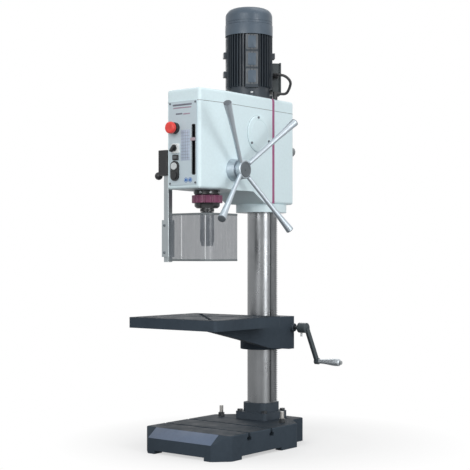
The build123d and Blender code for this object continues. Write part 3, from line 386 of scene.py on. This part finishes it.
def turned(name, profile, origin, axis, body, slot, material=None, segments=64, ripple=None):
    """Lathe: (along, radius) in mm about an axis; point = origin + along*axis + radius*(cos t, sin t).

    The outline starts and ends on the axis or closes on itself. ripple(t, along) scales the radius.
    """
    profile = np.array(profile, float) * MM
    first, second, axis = frame_about(axis)
    angle = np.linspace(0, 2 * math.pi, segments, endpoint=False)
    rim = np.outer(np.cos(angle), first) + np.outer(np.sin(angle), second)
    along, radius = profile[:, 0], profile[:, 1]
    poles = radius[0] < 1e-9
    body_rows = profile[1:-1] if poles else profile
    scale = np.ones((len(body_rows), segments))
    if ripple:
        scale = ripple(angle[None, :], body_rows[:, 0][:, None] / MM) * scale
    points = (
        np.array(origin, float)
        + body_rows[:, 0][:, None, None] * axis
        + (body_rows[:, 1][:, None] * scale)[:, :, None] * rim[None]
    )
    rows = len(body_rows)
    vertices = points.reshape(-1, 3)
    faces = [tuple(f) for f in grid_faces(rows, segments, True)]
    if poles:
        start, end = len(vertices), len(vertices) + 1
        ends = np.array([origin + along[0] * axis, origin + along[-1] * axis])
        vertices = np.vstack([vertices, ends])
        step = np.arange(segments)
        after = (step + 1) % segments
        last = (rows - 1) * segments
        faces += [(start, b, a) for a, b in zip(step, after)]
        faces += [(end, last + a, last + b) for a, b in zip(step, after)]
    else:
        faces += ring_closure(rows, segments)
    piece = add_piece(name, vertices, faces, body, slot, material)
    face_outwards(piece)
    return piece


def face_outwards(piece):
    """Recalculates the normals of a closed piece."""
    shell = bmesh.new()
    shell.from_mesh(piece.data)
    bmesh.ops.recalc_face_normals(shell, faces=shell.faces)
    shell.to_mesh(piece.data)
    shell.free()


def carried(name, path, section, up, body, slot, material=None):
    """A closed section (side, up) in mm carried along an open path of points in metres.

    Point = path + side*(tangent x up) + up; flat ends close the solid.
    """
    path = np.array(path, float)
    section = np.array(section, float) * MM
    tangent = np.gradient(path, axis=0)
    tangent /= np.linalg.norm(tangent, axis=1)[:, None]
    up = np.array(up, float)
    sideways = np.cross(tangent, up)
    sideways /= np.linalg.norm(sideways, axis=1)[:, None]
    aside, above = section[None, :, 0, None], section[None, :, 1, None]
    points = path[:, None] + aside * sideways[:, None] + above * up
    rows, columns = points.shape[:2]
    faces = [tuple(f) for f in grid_faces(rows, columns, True)] + end_caps(rows, columns)
    piece = add_piece(name, points.reshape(-1, 3), faces, body, slot, material)
    face_outwards(piece)
    return piece


def rounded_section(width, height, corner, steps=4):
    """Outline of a rounded rectangle, centred, in mm."""
    turns = np.linspace(0, math.pi / 2, steps + 1)
    outline = []
    for quarter, (sx, sy) in enumerate(((1, 1), (-1, 1), (-1, -1), (1, -1))):
        centre = np.array((sx * (width / 2 - corner), sy * (height / 2 - corner)))
        angle = turns + quarter * math.pi / 2
        outline.append(centre + corner * np.stack([np.cos(angle), np.sin(angle)], 1))
    return np.vstack(outline)


def slab(
    name, centre, width, height, thick, corner, facing, upright, body, slot, material=None, soften=0.6
):
    """A rounded plate: outline (width, height) swept through its thickness, edges eased by soften.

    centre is the middle of its back face; facing is the way its front looks.
    """
    facing, upright = np.array(facing, float), np.array(upright, float)
    sideways = np.cross(upright, facing)
    levels = [(0, 0), (thick - soften, 0), (thick - soften * 0.3, soften * 0.3), (thick, soften)]
    loops = []
    for out, inset in levels:
        outline = rounded_section(width - 2 * inset, height - 2 * inset, max(corner - inset, 0.1)) * MM
        loops.append(
            np.array(centre) + outline[:, :1] * sideways + outline[:, 1:] * upright + out * MM * facing
        )
    columns = len(loops[0])
    faces = [tuple(f) for f in grid_faces(len(loops), columns, True)] + end_caps(len(loops), columns)
    piece = add_piece(name, np.vstack(loops), faces, body, slot, material)
    face_outwards(piece)
    return piece


def arc(centre, radius, start, end, steps):
    """Points on a level arc, centre (x, y), angles in degrees."""
    angle = np.radians(np.linspace(start, end, steps))
    return np.stack([centre[0] + radius * np.cos(angle), centre[1] + radius * np.sin(angle)], 1)


def line(start, end, steps):
    """Evenly spaced points from start to end."""
    return np.linspace(start, end, steps)


def at_height(plan, z):
    """Points (x, y) of a plan lifted to the height z."""
    return np.column_stack([plan, np.full(len(plan), z)])


OPERATOR = (0, -1, 0)
RIGHT = (1, 0, 0)
UP = (0, 0, 1)

# ---------------------------------------------------------------- motor
MOTOR = middle("motor_cowl")
COWL_LOW_Z = low("motor_cowl")[2] / MM
COWL_TOP_Z = high("motor_cowl")[2] / MM
COWL_RADIUS = 98.0
COWL_WALL = 2.8
DOME_RADIUS = 34.0
STEP_Z = 1716.0
FLANGE_BOLT_RADIUS = 0.088
PAD_RADIUS = 0.0938


def cowl_profile():
    """Skirt, a rolled step, a second groove, a quarter-round shoulder and the recess of the grille."""
    upper = COWL_RADIUS - 1.5
    shoulder = COWL_TOP_Z - DOME_RADIUS
    outer = [(COWL_LOW_Z, COWL_RADIUS), (STEP_Z - 1.5, COWL_RADIUS), (STEP_Z, COWL_RADIUS - 0.4)]
    outer += [(STEP_Z + 0.8, upper - 0.8), (STEP_Z + 1.6, upper - 0.8), (STEP_Z + 2.4, upper)]
    outer += [(STEP_Z + 10, upper), (STEP_Z + 11, upper - 1)]
    outer += [(STEP_Z + 12.4, upper - 1), (STEP_Z + 13.4, upper)]
    t = np.linspace(0, math.pi / 2, 12)
    middle_r = upper - DOME_RADIUS
    outer += list(zip(shoulder + DOME_RADIUS * np.sin(t), middle_r + DOME_RADIUS * np.cos(t)))
    outer += [(COWL_TOP_Z - 1, 61), (COWL_TOP_Z - 3, 59.5)]
    inner = [(COWL_TOP_Z - 6, 59.5), (COWL_TOP_Z - 6, 62)]
    # the recess takes away the top of the inner arc, so the arc starts at its third point
    inner_r, back = DOME_RADIUS - COWL_WALL, t[::-1]
    inner += list(zip(shoulder + inner_r * np.sin(back), middle_r + inner_r * np.cos(back)))[2:]
    inner += [(STEP_Z + 1, upper - COWL_WALL), (STEP_Z - 1, COWL_RADIUS - COWL_WALL)]
    inner += [(COWL_LOW_Z, COWL_RADIUS - COWL_WALL)]
    return outer + inner


cowl = turned("fan_cowl", cowl_profile(), (MOTOR[0], MOTOR[1], 0), UP, "root", "motor_grey", segments=96)
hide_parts("motor_cowl")

for n, ring_r in enumerate((12, 22, 32, 42, 52)):
    t = np.linspace(0, 2 * math.pi, 13)[:-1]
    wire = np.stack([COWL_TOP_Z - 4 + 1.5 * np.sin(t), ring_r + 1.5 * np.cos(t)], 1)
    turned(f"grille_ring_{n}", wire, (MOTOR[0], MOTOR[1], 0), UP, "root", "motor_grey", segments=64)
for n in range(8):
    angle = n * math.pi / 4
    spoke = np.array((math.cos(angle), math.sin(angle), 0))
    centre = np.array((MOTOR[0], MOTOR[1], (COWL_TOP_Z - 5) * MM))
    carried(
        f"grille_spoke_{n}", line(centre + 0.004 * spoke, centre + 0.0602 * spoke, 4),
        rounded_section(4, 2.4, 1), UP, "root", "motor_grey",
    )

# bolts that hold the motor down, on the flange's four lugs
FLANGE_TOP = low("motor_flange")[2] + 0.016
for n in range(4):
    angle = math.radians(45 + 90 * n)
    place = (
        MOTOR[0] + FLANGE_BOLT_RADIUS * math.cos(angle),
        MOTOR[1] + FLANGE_BOLT_RADIUS * math.sin(angle),
        FLANGE_TOP,
    )
    turned(
        f"flange_bolt_{n}", [(0, 0), (0, 6.5), (5, 6.5), (6.2, 5.4), (6.2, 3), (3.2, 2.6), (3.2, 0)],
        place, UP, "root", "zinc_steel", segments=24,
    )

# cover plates cast into the motor's front pad, each on a dark plate that is painted shade of the recess round it
PAD_DIRECTION = np.array((math.cos(math.radians(-45)), math.sin(math.radians(-45)), 0))
HOUSING_LOW = low("motor_housing")[2]
for n, lift in enumerate((0.058, 0.128, 0.198)):
    place = np.array((MOTOR[0], MOTOR[1], HOUSING_LOW + lift)) + PAD_RADIUS * PAD_DIRECTION
    slab(f"pad_recess_shade_{n}", place, 50, 62, 0.8, 3, PAD_DIRECTION, UP, "root", "motor_grey", DARK_SEAM, 0.3)
    slab(f"pad_window_{n}", place, 33, 50, 3.4, 5, PAD_DIRECTION, UP, "root", "motor_grey", soften=1.2)

# ---------------------------------------------------------------- head
HEAD_LOW_Z = 0.985
SEAM_Z = low("head_top_cover")[2]
HEAD_TOP_Z = high("head_top_cover")[2]
HEAD_HALF = high("head_casting")[0]
HEAD_FRONT = -0.498
HEAD_REAR = 0.095
NOSE_HALF = 0.0825
CREASE_Y = -0.364
REAR_CORNER = 0.014
NOSE_CORNER = 0.012
NOSE_CENTRE_X = NOSE_HALF - 0.0103


def head_plan(proud):
    """Plan of the head, clockwise from the rear left, standing proud of its walls."""
    half = HEAD_HALF + proud
    slope = math.degrees(math.atan2(HEAD_HALF - NOSE_HALF, CREASE_Y - HEAD_FRONT))
    rear_r, nose_r = REAR_CORNER + proud, NOSE_CORNER + proud
    rear_x, rear_y = HEAD_HALF - REAR_CORNER, HEAD_REAR - REAR_CORNER
    nose_y = HEAD_FRONT + NOSE_CORNER
    return np.vstack(
        [
            arc((-rear_x, rear_y), rear_r, 90, 180, 7),
            [(-half, CREASE_Y)],
            arc((-NOSE_CENTRE_X, nose_y), nose_r, 180 + slope, 270, 7),
            arc((NOSE_CENTRE_X, nose_y), nose_r, 270, 360 - slope, 7),
            [(half, CREASE_Y)],
            arc((rear_x, rear_y), rear_r, 0, 90, 7),
        ]
    )


def hoop(name, loops, body, slot, material):
    """Matching closed loops joined each to the next, and the last back to the first."""
    rows, columns = len(loops), len(loops[0])
    faces = [tuple(f) for f in grid_faces(rows, columns, True)] + ring_closure(rows, columns)
    piece = add_piece(name, np.vstack(loops), faces, body, slot, material)
    face_outwards(piece)


# a dark hairline where the top cover meets the casting
hoop(
    "top_cover_seam",
    [at_height(head_plan(proud), SEAM_Z + rise)
     for proud, rise in ((-0.002, -0.0008), (0.00025, -0.0008), (0.00025, 0.0008), (-0.002, 0.0008))],
    "root", "black_plastic", DARK_SEAM,
)

STRIPE_Y = -0.050
TOP_EDGE = 0.0115
for name, side_sign in (("right_stripe", 1), ("left_stripe", -1)):
    height = np.linspace(HEAD_LOW_Z + 0.001, HEAD_TOP_Z - TOP_EDGE, 24)
    flank = np.column_stack([np.full_like(height, HEAD_HALF), np.full_like(height, STRIPE_Y), height])
    turn = np.linspace(0, math.pi / 2, 6)[1:]
    over = np.column_stack(
        [
            HEAD_HALF - TOP_EDGE + TOP_EDGE * np.cos(turn),
            np.full_like(turn, STRIPE_Y),
            HEAD_TOP_Z - TOP_EDGE + TOP_EDGE * np.sin(turn),
        ]
    )
    path = np.vstack([flank, over]) * (side_sign, 1, 1)
    across = np.array((0, 1, 0))
    carried(name, path, rounded_section(0.7, 15, 0.3, 2), across, "root", "magenta_enamel", STRIPE)

COVER = middle("side_cover")
inspection = turned(
    "inspection_cover",
    [(0, 0), (0, 74), (3.2, 74), (4.4, 73.2), (4.9, 71.5), (4.9, 57), (3.9, 56), (3.9, 54.5), (4.9, 53.5),
     (5.3, 30), (5.4, 0)],
    (HEAD_HALF + 0.0002, COVER[1], COVER[2]), RIGHT, "root", "white_enamel", segments=96,
)
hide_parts("side_cover")
# grey ring round the rim of the cover: painted shadow of its edge
turned(
    "cover_shadow_gap", [(0.1, 73), (0.1, 75), (0.5, 75), (0.5, 73)],
    (HEAD_HALF, COVER[1], COVER[2]), RIGHT, "root", "black_plastic", SEAM_SHADOW_GREY, 96,
)

# ---------------------------------------------------------------- front panel
FACE_Y = low("front_panel")[1] - 0.0001
CONTROL_X = middle("selector_plate")[0] / MM
SELECTOR_Z = middle("selector_plate")[2] / MM
NOTICE_Z = 1062
CHART_X, CHART_Z = 14, 1196


def on_panel(x, z):
    """A place on the panel's face, x and z in mm."""
    return np.array((x * MM, FACE_Y, z * MM))


def print_mark(name, place, width, height, thick, corner, paint, soften=0.05):
    """A thin printed mark on the panel."""
    slab(name, place, width, height, thick, corner, OPERATOR, UP, "root", "panel_grey", paint, soften)


for n, x in enumerate((17, 38)):
    turned(
        f"notice_disc_{n}", [(0, 0), (0, 9.6), (0.5, 9.6), (0.7, 9.2), (0.7, 0)], on_panel(x, NOTICE_Z),
        OPERATOR, "root", "panel_grey", BLUE_PRINT, 48,
    )
    turned(
        f"notice_ring_{n}", [(0.6, 6.2), (0.9, 6.2), (0.9, 7.4), (0.6, 7.4)], on_panel(x, NOTICE_Z),
        OPERATOR, "root", "white_enamel", segments=48,
    )
INDICATOR = on_panel(CONTROL_X, 1151)
slab(
    "indicator_block", INDICATOR, 27, 21, 7, 2.5, OPERATOR, UP, "root", "black_plastic", soften=1.2
)
slab(
    "indicator_lens", INDICATOR + (0, -0.007, 0), 17, 10, 1.6, 2, OPERATOR, UP, "root",
    "black_plastic", DARK_SEAM,
)
for name, x, z, width, height, paint in (
    ("title_line", -2, 1352, 96, 7, PRINT_GREY),
    ("title_second", -2, 1341, 92, 5, PRINT_MAUVE),
    ("model_line", -18, 1318, 34, 6, PRINT_GREY),
    ("model_second", 20, 1316, 34, 5, PRINT_MAUVE),
):
    print_mark(name, on_panel(x, z), width, height, 0.3, 1.5, paint, 0.1)
print_mark("speed_chart", on_panel(CHART_X, CHART_Z), 46, 118, 0.3, 2, CHART_PRINT, 0.1)
ON_CHART = (0, -0.0003, 0)
for n in range(9):
    place = on_panel(CHART_X, CHART_Z + 12 * (n - 4)) + ON_CHART
    print_mark(f"chart_line_{n}", place, 42, 0.8, 0.2, 0.3, PRINT_GREY)
for n in range(3):
    place = on_panel(CHART_X + 12 * (n - 1), CHART_Z) + ON_CHART
    print_mark(f"chart_rule_{n}", place, 0.8, 112, 0.2, 0.3, PRINT_GREY)
SLOT = middle("depth_slot_trim")
SLOT_WIDE, SLOT_TALL = 12, 189


def slot_outline(inset, y):
    """Rounded outline of the depth window at a depth y."""
    outline = rounded_section(SLOT_WIDE - inset, SLOT_TALL - inset, 5 - inset / 2, 6) * MM
    return np.column_stack([SLOT[0] + outline[:, 0], np.full(len(outline), y), SLOT[2] + outline[:, 1]])


hoop(
    "depth_slot_liner",
    [slot_outline(inset, FACE_Y + depth)
     for inset, depth in ((0.1, 0.0004), (0.9, 0.0004), (0.9, 0.0300), (0.1, 0.0300))],
    "root", "black_plastic", FINISH["black_steel"],
)
SLOT_LOW = low("depth_slot_trim")[2] / MM + 8
for n in range(18):
    long_tick = n % 5 == 0
    place = on_panel(43.6 if long_tick else 44.6, SLOT_LOW + 10 * n)
    print_mark(f"depth_tick_{n}", place, 5 if long_tick else 3, 0.8, 0.3, 0.3, PRINT_GREY)
TICK_RADIUS = 15.5
ON_SELECTOR = (0, -0.005, 0)
for n, angle in enumerate(np.radians((30, 60, 90, 120, 150))):
    x = CONTROL_X + TICK_RADIUS * math.cos(angle)
    z = SELECTOR_Z + TICK_RADIUS * math.sin(angle)
    print_mark(f"selector_tick_{n}", on_panel(x, z) + ON_SELECTOR, 2.4, 2.4, 0.4, 1, PRINT_GREY, 0.1)

# ---------------------------------------------------------------- spindle and chuck
SPINDLE = np.array((0.0, middle("spindle")[1], 0.0))
turned(
    "nose_ring", [(945.6, 20.2), (945.6, 26.5), (947, 28), (955.5, 28), (957, 26.5), (957, 20.2)],
    SPINDLE, UP, "spindle", "black_steel",
)

upper = turned(
    "chuck_upper",
    [(877.3, 19.2), (877.3, 27), (878.5, 27.8), (896, 27.8), (896.6, 27), (898, 27), (898.6, 27.8),
     (926, 27.8), (926.6, 27), (928, 27), (928.6, 27.8), (940.5, 27.8), (943.6, 25), (943.6, 10),
     (905, 10), (905, 19.2)],
    SPINDLE, UP, "spindle", "chuck_steel", segments=96,
)
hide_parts("chuck_body")
# a round rim set in the side of the chuck, turned a little towards the right
KEY_ACROSS, KEY_FORWARD = math.cos(math.radians(-35)), math.sin(math.radians(-35))
turned(
    "key_hole", [(0, 0), (0, 3.2), (0.5, 3.2), (0.9, 2.6), (0.9, 2.2), (0.3, 1.8), (0.3, 0)],
    (0.0278 * KEY_ACROSS, SPINDLE[1] + 0.0275 * KEY_FORWARD, 0.912),
    (KEY_ACROSS, KEY_FORWARD, 0), "spindle", "black_steel", segments=24,
)
FLANGE_SCREW_RADIUS = 0.0498
FLANGE_SCREW_Z = 1.020
for n in range(8):
    angle = math.radians(45 * n + 10)
    spoke = np.array((math.cos(angle), math.sin(angle), 0))
    turned(
        f"flange_screw_{n}", [(0, 0), (0, 5), (3.4, 5), (4.4, 4), (4.4, 2.4), (2, 2), (2, 0)],
        SPINDLE + FLANGE_SCREW_RADIUS * spoke + (0, 0, FLANGE_SCREW_Z), spoke, "root", "zinc_steel",
        segments=24,
    )
grip_rows = [(876.6, 19.4), (876.6, 27.2), (875.4, 27.8), (872, 27.8)]
grip_rows += [(z, 27.8) for z in np.linspace(870, 832, 12)]
grip_rows += [(829, 27.6), (826, 26.2), (811.5, 22.6), (810.2, 21.4)]
grip_rows += [(810.2, 12.4), (838, 16.4), (838, 19.4)]
sleeve = turned(
    "chuck_grip", grip_rows, SPINDLE, UP, "chuck_sleeve", "chuck_steel", DARK_CHUCK, 240,
    ripple=lambda t, z: np.where((z < 871) & (z > 831), 1 - 0.035 * np.abs(np.sin(30 * t)), 1.0),
)
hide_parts("chuck_sleeve")

# ---------------------------------------------------------------- feed capstan
FEED = np.array((0.0, *JOINTS["capstan_turn"]["pos_m"][1:]))
HUB_FACE = high("capstan_hub")[0] / MM
hub_rows = [(-0.2, 0), (-0.2, 31), (1.6, 31), (2.6, 30), (2.6, 24), (1.4, 23), (1.4, 7), (3.4, 6), (3.4, 0)]
turned(
    "hub_face", [(HUB_FACE + out, radius) for out, radius in hub_rows],
    FEED, RIGHT, "capstan", "silver_handle", ARM_END,
)
ARM_ROOT_X = 0.153
ARM_ROOT_REACH = 0.028
ARM_TIP_X = 0.230
ARM_REACH = 0.305
ARM_ANGLE = 40.5
for n in range(4):
    angle = math.radians(ARM_ANGLE + 90 * n)
    outward = np.array((0, math.cos(angle), math.sin(angle)))
    root_point = np.array((ARM_ROOT_X, FEED[1], FEED[2])) + ARM_ROOT_REACH * outward
    tip_point = np.array((ARM_TIP_X, FEED[1], FEED[2])) + ARM_REACH * outward
    along = tip_point - root_point
    turned(
        f"arm_cap_{n}", [(0, 0), (0, 15.3), (1.2, 15.3), (2.6, 14.4), (3.2, 12), (3.3, 0)],
        tip_point + along * 0.0004, along, "capstan", "silver_handle", ARM_END, 40,
    )

# ---------------------------------------------------------------- chuck guard
POST = middle("guard_post")
SHEET_LOW, SHEET_HIGH = low("guard_shield")[2], high("guard_shield")[2]
SHEET_LEFT = low("guard_shield")[0]
SHEET_RIGHT = high("guard_shield")[0]
SHEET_FRONT = low("guard_shield")[1]
SHEET_BACK = high("guard_shield")[1]
SHEET_T = 0.004
BEND = 0.040
SHEET_MID_X, SHEET_MID_Y = SHEET_RIGHT - SHEET_T / 2, SHEET_FRONT + SHEET_T / 2
BEND_CLEARANCE = BEND + 0.004
sheet_plan = np.vstack(
    [
        line((SHEET_LEFT, SHEET_MID_Y), (SHEET_RIGHT - BEND_CLEARANCE, SHEET_MID_Y), 8),
        arc((SHEET_RIGHT - BEND, SHEET_FRONT + BEND), BEND - SHEET_T / 2, -90, 0, 10),
        line((SHEET_MID_X, SHEET_FRONT + BEND_CLEARANCE), (SHEET_MID_X, SHEET_BACK), 8),
    ]
)
EDGE_STRIP = rounded_section(5.6, 7.4, 1.2)
HIGHLIGHT_STRIP = rounded_section(3.2, 1.2, 0.5, 2)
HIGHLIGHT_OUT = (0.5, -0.866, 0)
for name, z in (("guard_top_strip", SHEET_HIGH - 0.004), ("guard_bottom_strip", SHEET_LOW + 0.004)):
    carried(name, at_height(sheet_plan, z), EDGE_STRIP, UP, "guard", "black_plastic", EDGE_GREY)
# two slim bright strips down the shield: painted highlights at its bend and on its front
for name, place in (
    ("guard_bend_highlight", (SHEET_RIGHT - BEND + 0.020, SHEET_FRONT + 0.005)),
    ("guard_front_highlight", (SHEET_LEFT + 0.062, SHEET_FRONT - 0.0006)),
):
    upright = np.array([(*place, SHEET_LOW + 0.009), (*place, SHEET_HIGH - 0.009)])
    carried(name, upright, HIGHLIGHT_STRIP, HIGHLIGHT_OUT, "guard", "guard_clear", HIGHLIGHT_SHEET)
BRACKET_FRONT = low("guard_bracket")[1]
for n, z in enumerate((0.784, 0.891)):
    turned(
        f"guard_screw_{n}", [(0, 0), (0, 5), (2, 5), (3.2, 3.6), (3.6, 0)],
        (POST[0] - 0.004, BRACKET_FRONT, z), OPERATOR, "guard", "zinc_steel", ARM_END, 32,
    )

# ---------------------------------------------------------------- base
# the sloping nose carries a lighter band, a painted highlight where the slope faces the light
BASE_FRONT = low("base_plate")[1]
BASE_HALF = high("base_plate")[0] / MM
BASE_TOP = high("base_plate")[2]
BEVEL_LOW = 0.059
BEVEL_BACK = -0.474
BAND_TALL = 59
BAND_MARGIN = 58
BEVEL_FOOT = np.array((0, BASE_FRONT - MM, BEVEL_LOW))
BEVEL_HEAD = np.array((0, BEVEL_BACK, BASE_TOP + MM))
BEVEL_UP = (BEVEL_HEAD - BEVEL_FOOT) / np.linalg.norm(BEVEL_HEAD - BEVEL_FOOT)
BEVEL_OUT = np.cross(RIGHT, BEVEL_UP)
slab(
    "bevel_highlight_band", (BEVEL_FOOT + BEVEL_HEAD) / 2 + 0.0003 * BEVEL_OUT,
    2 * (BASE_HALF - BAND_MARGIN), BAND_TALL, 0.5, 2,
    BEVEL_OUT, BEVEL_UP, "root", "grey_casting", BEVEL_HIGHLIGHT, 0.2,
)

# ---------------------------------------------------------------- floor, light and camera
FLOOR_REACH = 60.0
FADE_START = 0.42
FADE_END = 0.85


def seen_by_eye(tree, rays):
    """1 for rays from the camera, and for those it sends on through reflections and clear sheets."""
    eye = calculate(tree, "MAXIMUM", rays.outputs["Is Camera Ray"], rays.outputs["Is Glossy Ray"])
    return calculate(tree, "MAXIMUM", eye, rays.outputs["Is Transmission Ray"])


def white_floor():
    """Pale floor that keeps the shadow near the machine and fades to white further off.

    The fade runs from FADE_START to FADE_END, measured in metres from the column's axis.
    """
    mesh = bpy.data.meshes.new("floor")
    corners = [(x * FLOOR_REACH, y * FLOOR_REACH, 0) for x, y in ((-1, -1), (1, -1), (1, 1), (-1, 1))]
    mesh.from_pydata(corners, [], [(0, 1, 2, 3)])
    floor = bpy.data.objects.new("floor", mesh)
    bpy.context.scene.collection.objects.link(floor)
    material, tree, shader = new_material("floor_white")
    shader.inputs["Roughness"].default_value = 0.9
    shader.inputs["Specular IOR Level"].default_value = 0.1
    rays = tree.nodes.new("ShaderNodeLightPath")
    grey = blend_colours(tree, rays.outputs["Is Camera Ray"], (0.19, 0.19, 0.19), (0.86, 0.86, 0.86))
    tree.links.new(grey, shader.inputs["Base Color"])
    place = tree.nodes.new("ShaderNodeTexCoord")
    away = tree.nodes.new("ShaderNodeVectorMath")
    away.operation = "LENGTH"
    tree.links.new(place.outputs["Object"], away.inputs[0])
    fade = stretch(tree, away.outputs["Value"], 0.5, 1.0, source=(FADE_START, FADE_END))
    glow = tree.nodes.new("ShaderNodeEmission")
    mirrored = stretch(tree, rays.outputs["Is Glossy Ray"], 1.0, 0.6)
    tree.links.new(mirrored, glow.inputs["Strength"])
    mix = tree.nodes.new("ShaderNodeMixShader")
    tree.links.new(calculate(tree, "MULTIPLY", fade, seen_by_eye(tree, rays)), mix.inputs["Fac"])
    tree.links.new(shader.outputs["BSDF"], mix.inputs[1])
    tree.links.new(glow.outputs["Emission"], mix.inputs[2])
    tree.links.new(mix.outputs["Shader"], tree.nodes["Material Output"].inputs["Surface"])
    mesh.materials.append(material)


def studio_world(strength):
    """Soft grey light all round; the background itself is white to the eye and in reflections."""
    world = bpy.data.worlds.new("studio")
    world.use_nodes = True
    bpy.context.scene.world = world
    tree = world.node_tree
    rays = tree.nodes.new("ShaderNodeLightPath")
    level = stretch(tree, seen_by_eye(tree, rays), strength, 1.0)
    backdrop = tree.nodes["Background"]
    backdrop.inputs["Color"].default_value = (1, 1, 1, 1)
    tree.links.new(level, backdrop.inputs["Strength"])


def aim(item, place, target):
    """Stands a lamp or camera at a place, looking at a target."""
    away = np.array(place, float) - np.array(target, float)
    flat = math.hypot(away[0], away[1])
    item.location = place
    item.rotation_euler = (math.atan2(flat, away[2]), 0, math.atan2(away[0], -away[1]))


def soft_lamp(name, place, target, size, power):
    """Rectangular lamp, size in metres and power in watts, that looks at a target."""
    lamp = bpy.data.lights.new(name, "AREA")
    lamp.shape = "RECTANGLE"
    lamp.size, lamp.size_y = size
    lamp.energy = power
    item = bpy.data.objects.new(name, lamp)
    bpy.context.scene.collection.objects.link(item)
    aim(item, place, target)


white_floor()
studio_world(0.55)
soft_lamp("key", (0.9, -4.2, 2.2), (0, -0.2, 0.9), (2.4, 2.4), 74)
soft_lamp("fill_right", (4.0, -1.1, 1.6), (0, -0.1, 0.9), (1.4, 2.6), 70)
soft_lamp("overhead", (0.7, 0.35, 3.4), (0, -0.2, 1.2), (1.5, 1.5), 13)
soft_lamp("back_left", (-2.6, 2.6, 2.6), (0, 0, 1.0), (1.6, 1.6), 25)

CAMERA_TURN = math.radians(38.28)
CAMERA_AWAY = 4.805
CAMERA_SIDE = 0.1095
CAMERA_HEIGHT = 0.7727
CAMERA_LENS = 88.0
CAMERA_SHIFT = 0.0437
camera_data = bpy.data.cameras.new("camera")
camera_data.sensor_width = 36.0
camera_data.lens = CAMERA_LENS
camera_data.shift_y = CAMERA_SHIFT
camera = bpy.data.objects.new("camera", camera_data)
bpy.context.scene.collection.objects.link(camera)
across = np.array((math.cos(CAMERA_TURN), math.sin(CAMERA_TURN)))
ahead = np.array((-math.sin(CAMERA_TURN), math.cos(CAMERA_TURN)))
stand = -CAMERA_SIDE * across - CAMERA_AWAY * ahead
camera.location = (stand[0], stand[1], CAMERA_HEIGHT)
camera.rotation_euler = (math.pi / 2, 0, CAMERA_TURN)
bpy.context.scene.camera = camera
bpy.context.scene.view_settings.view_transform = "Standard"
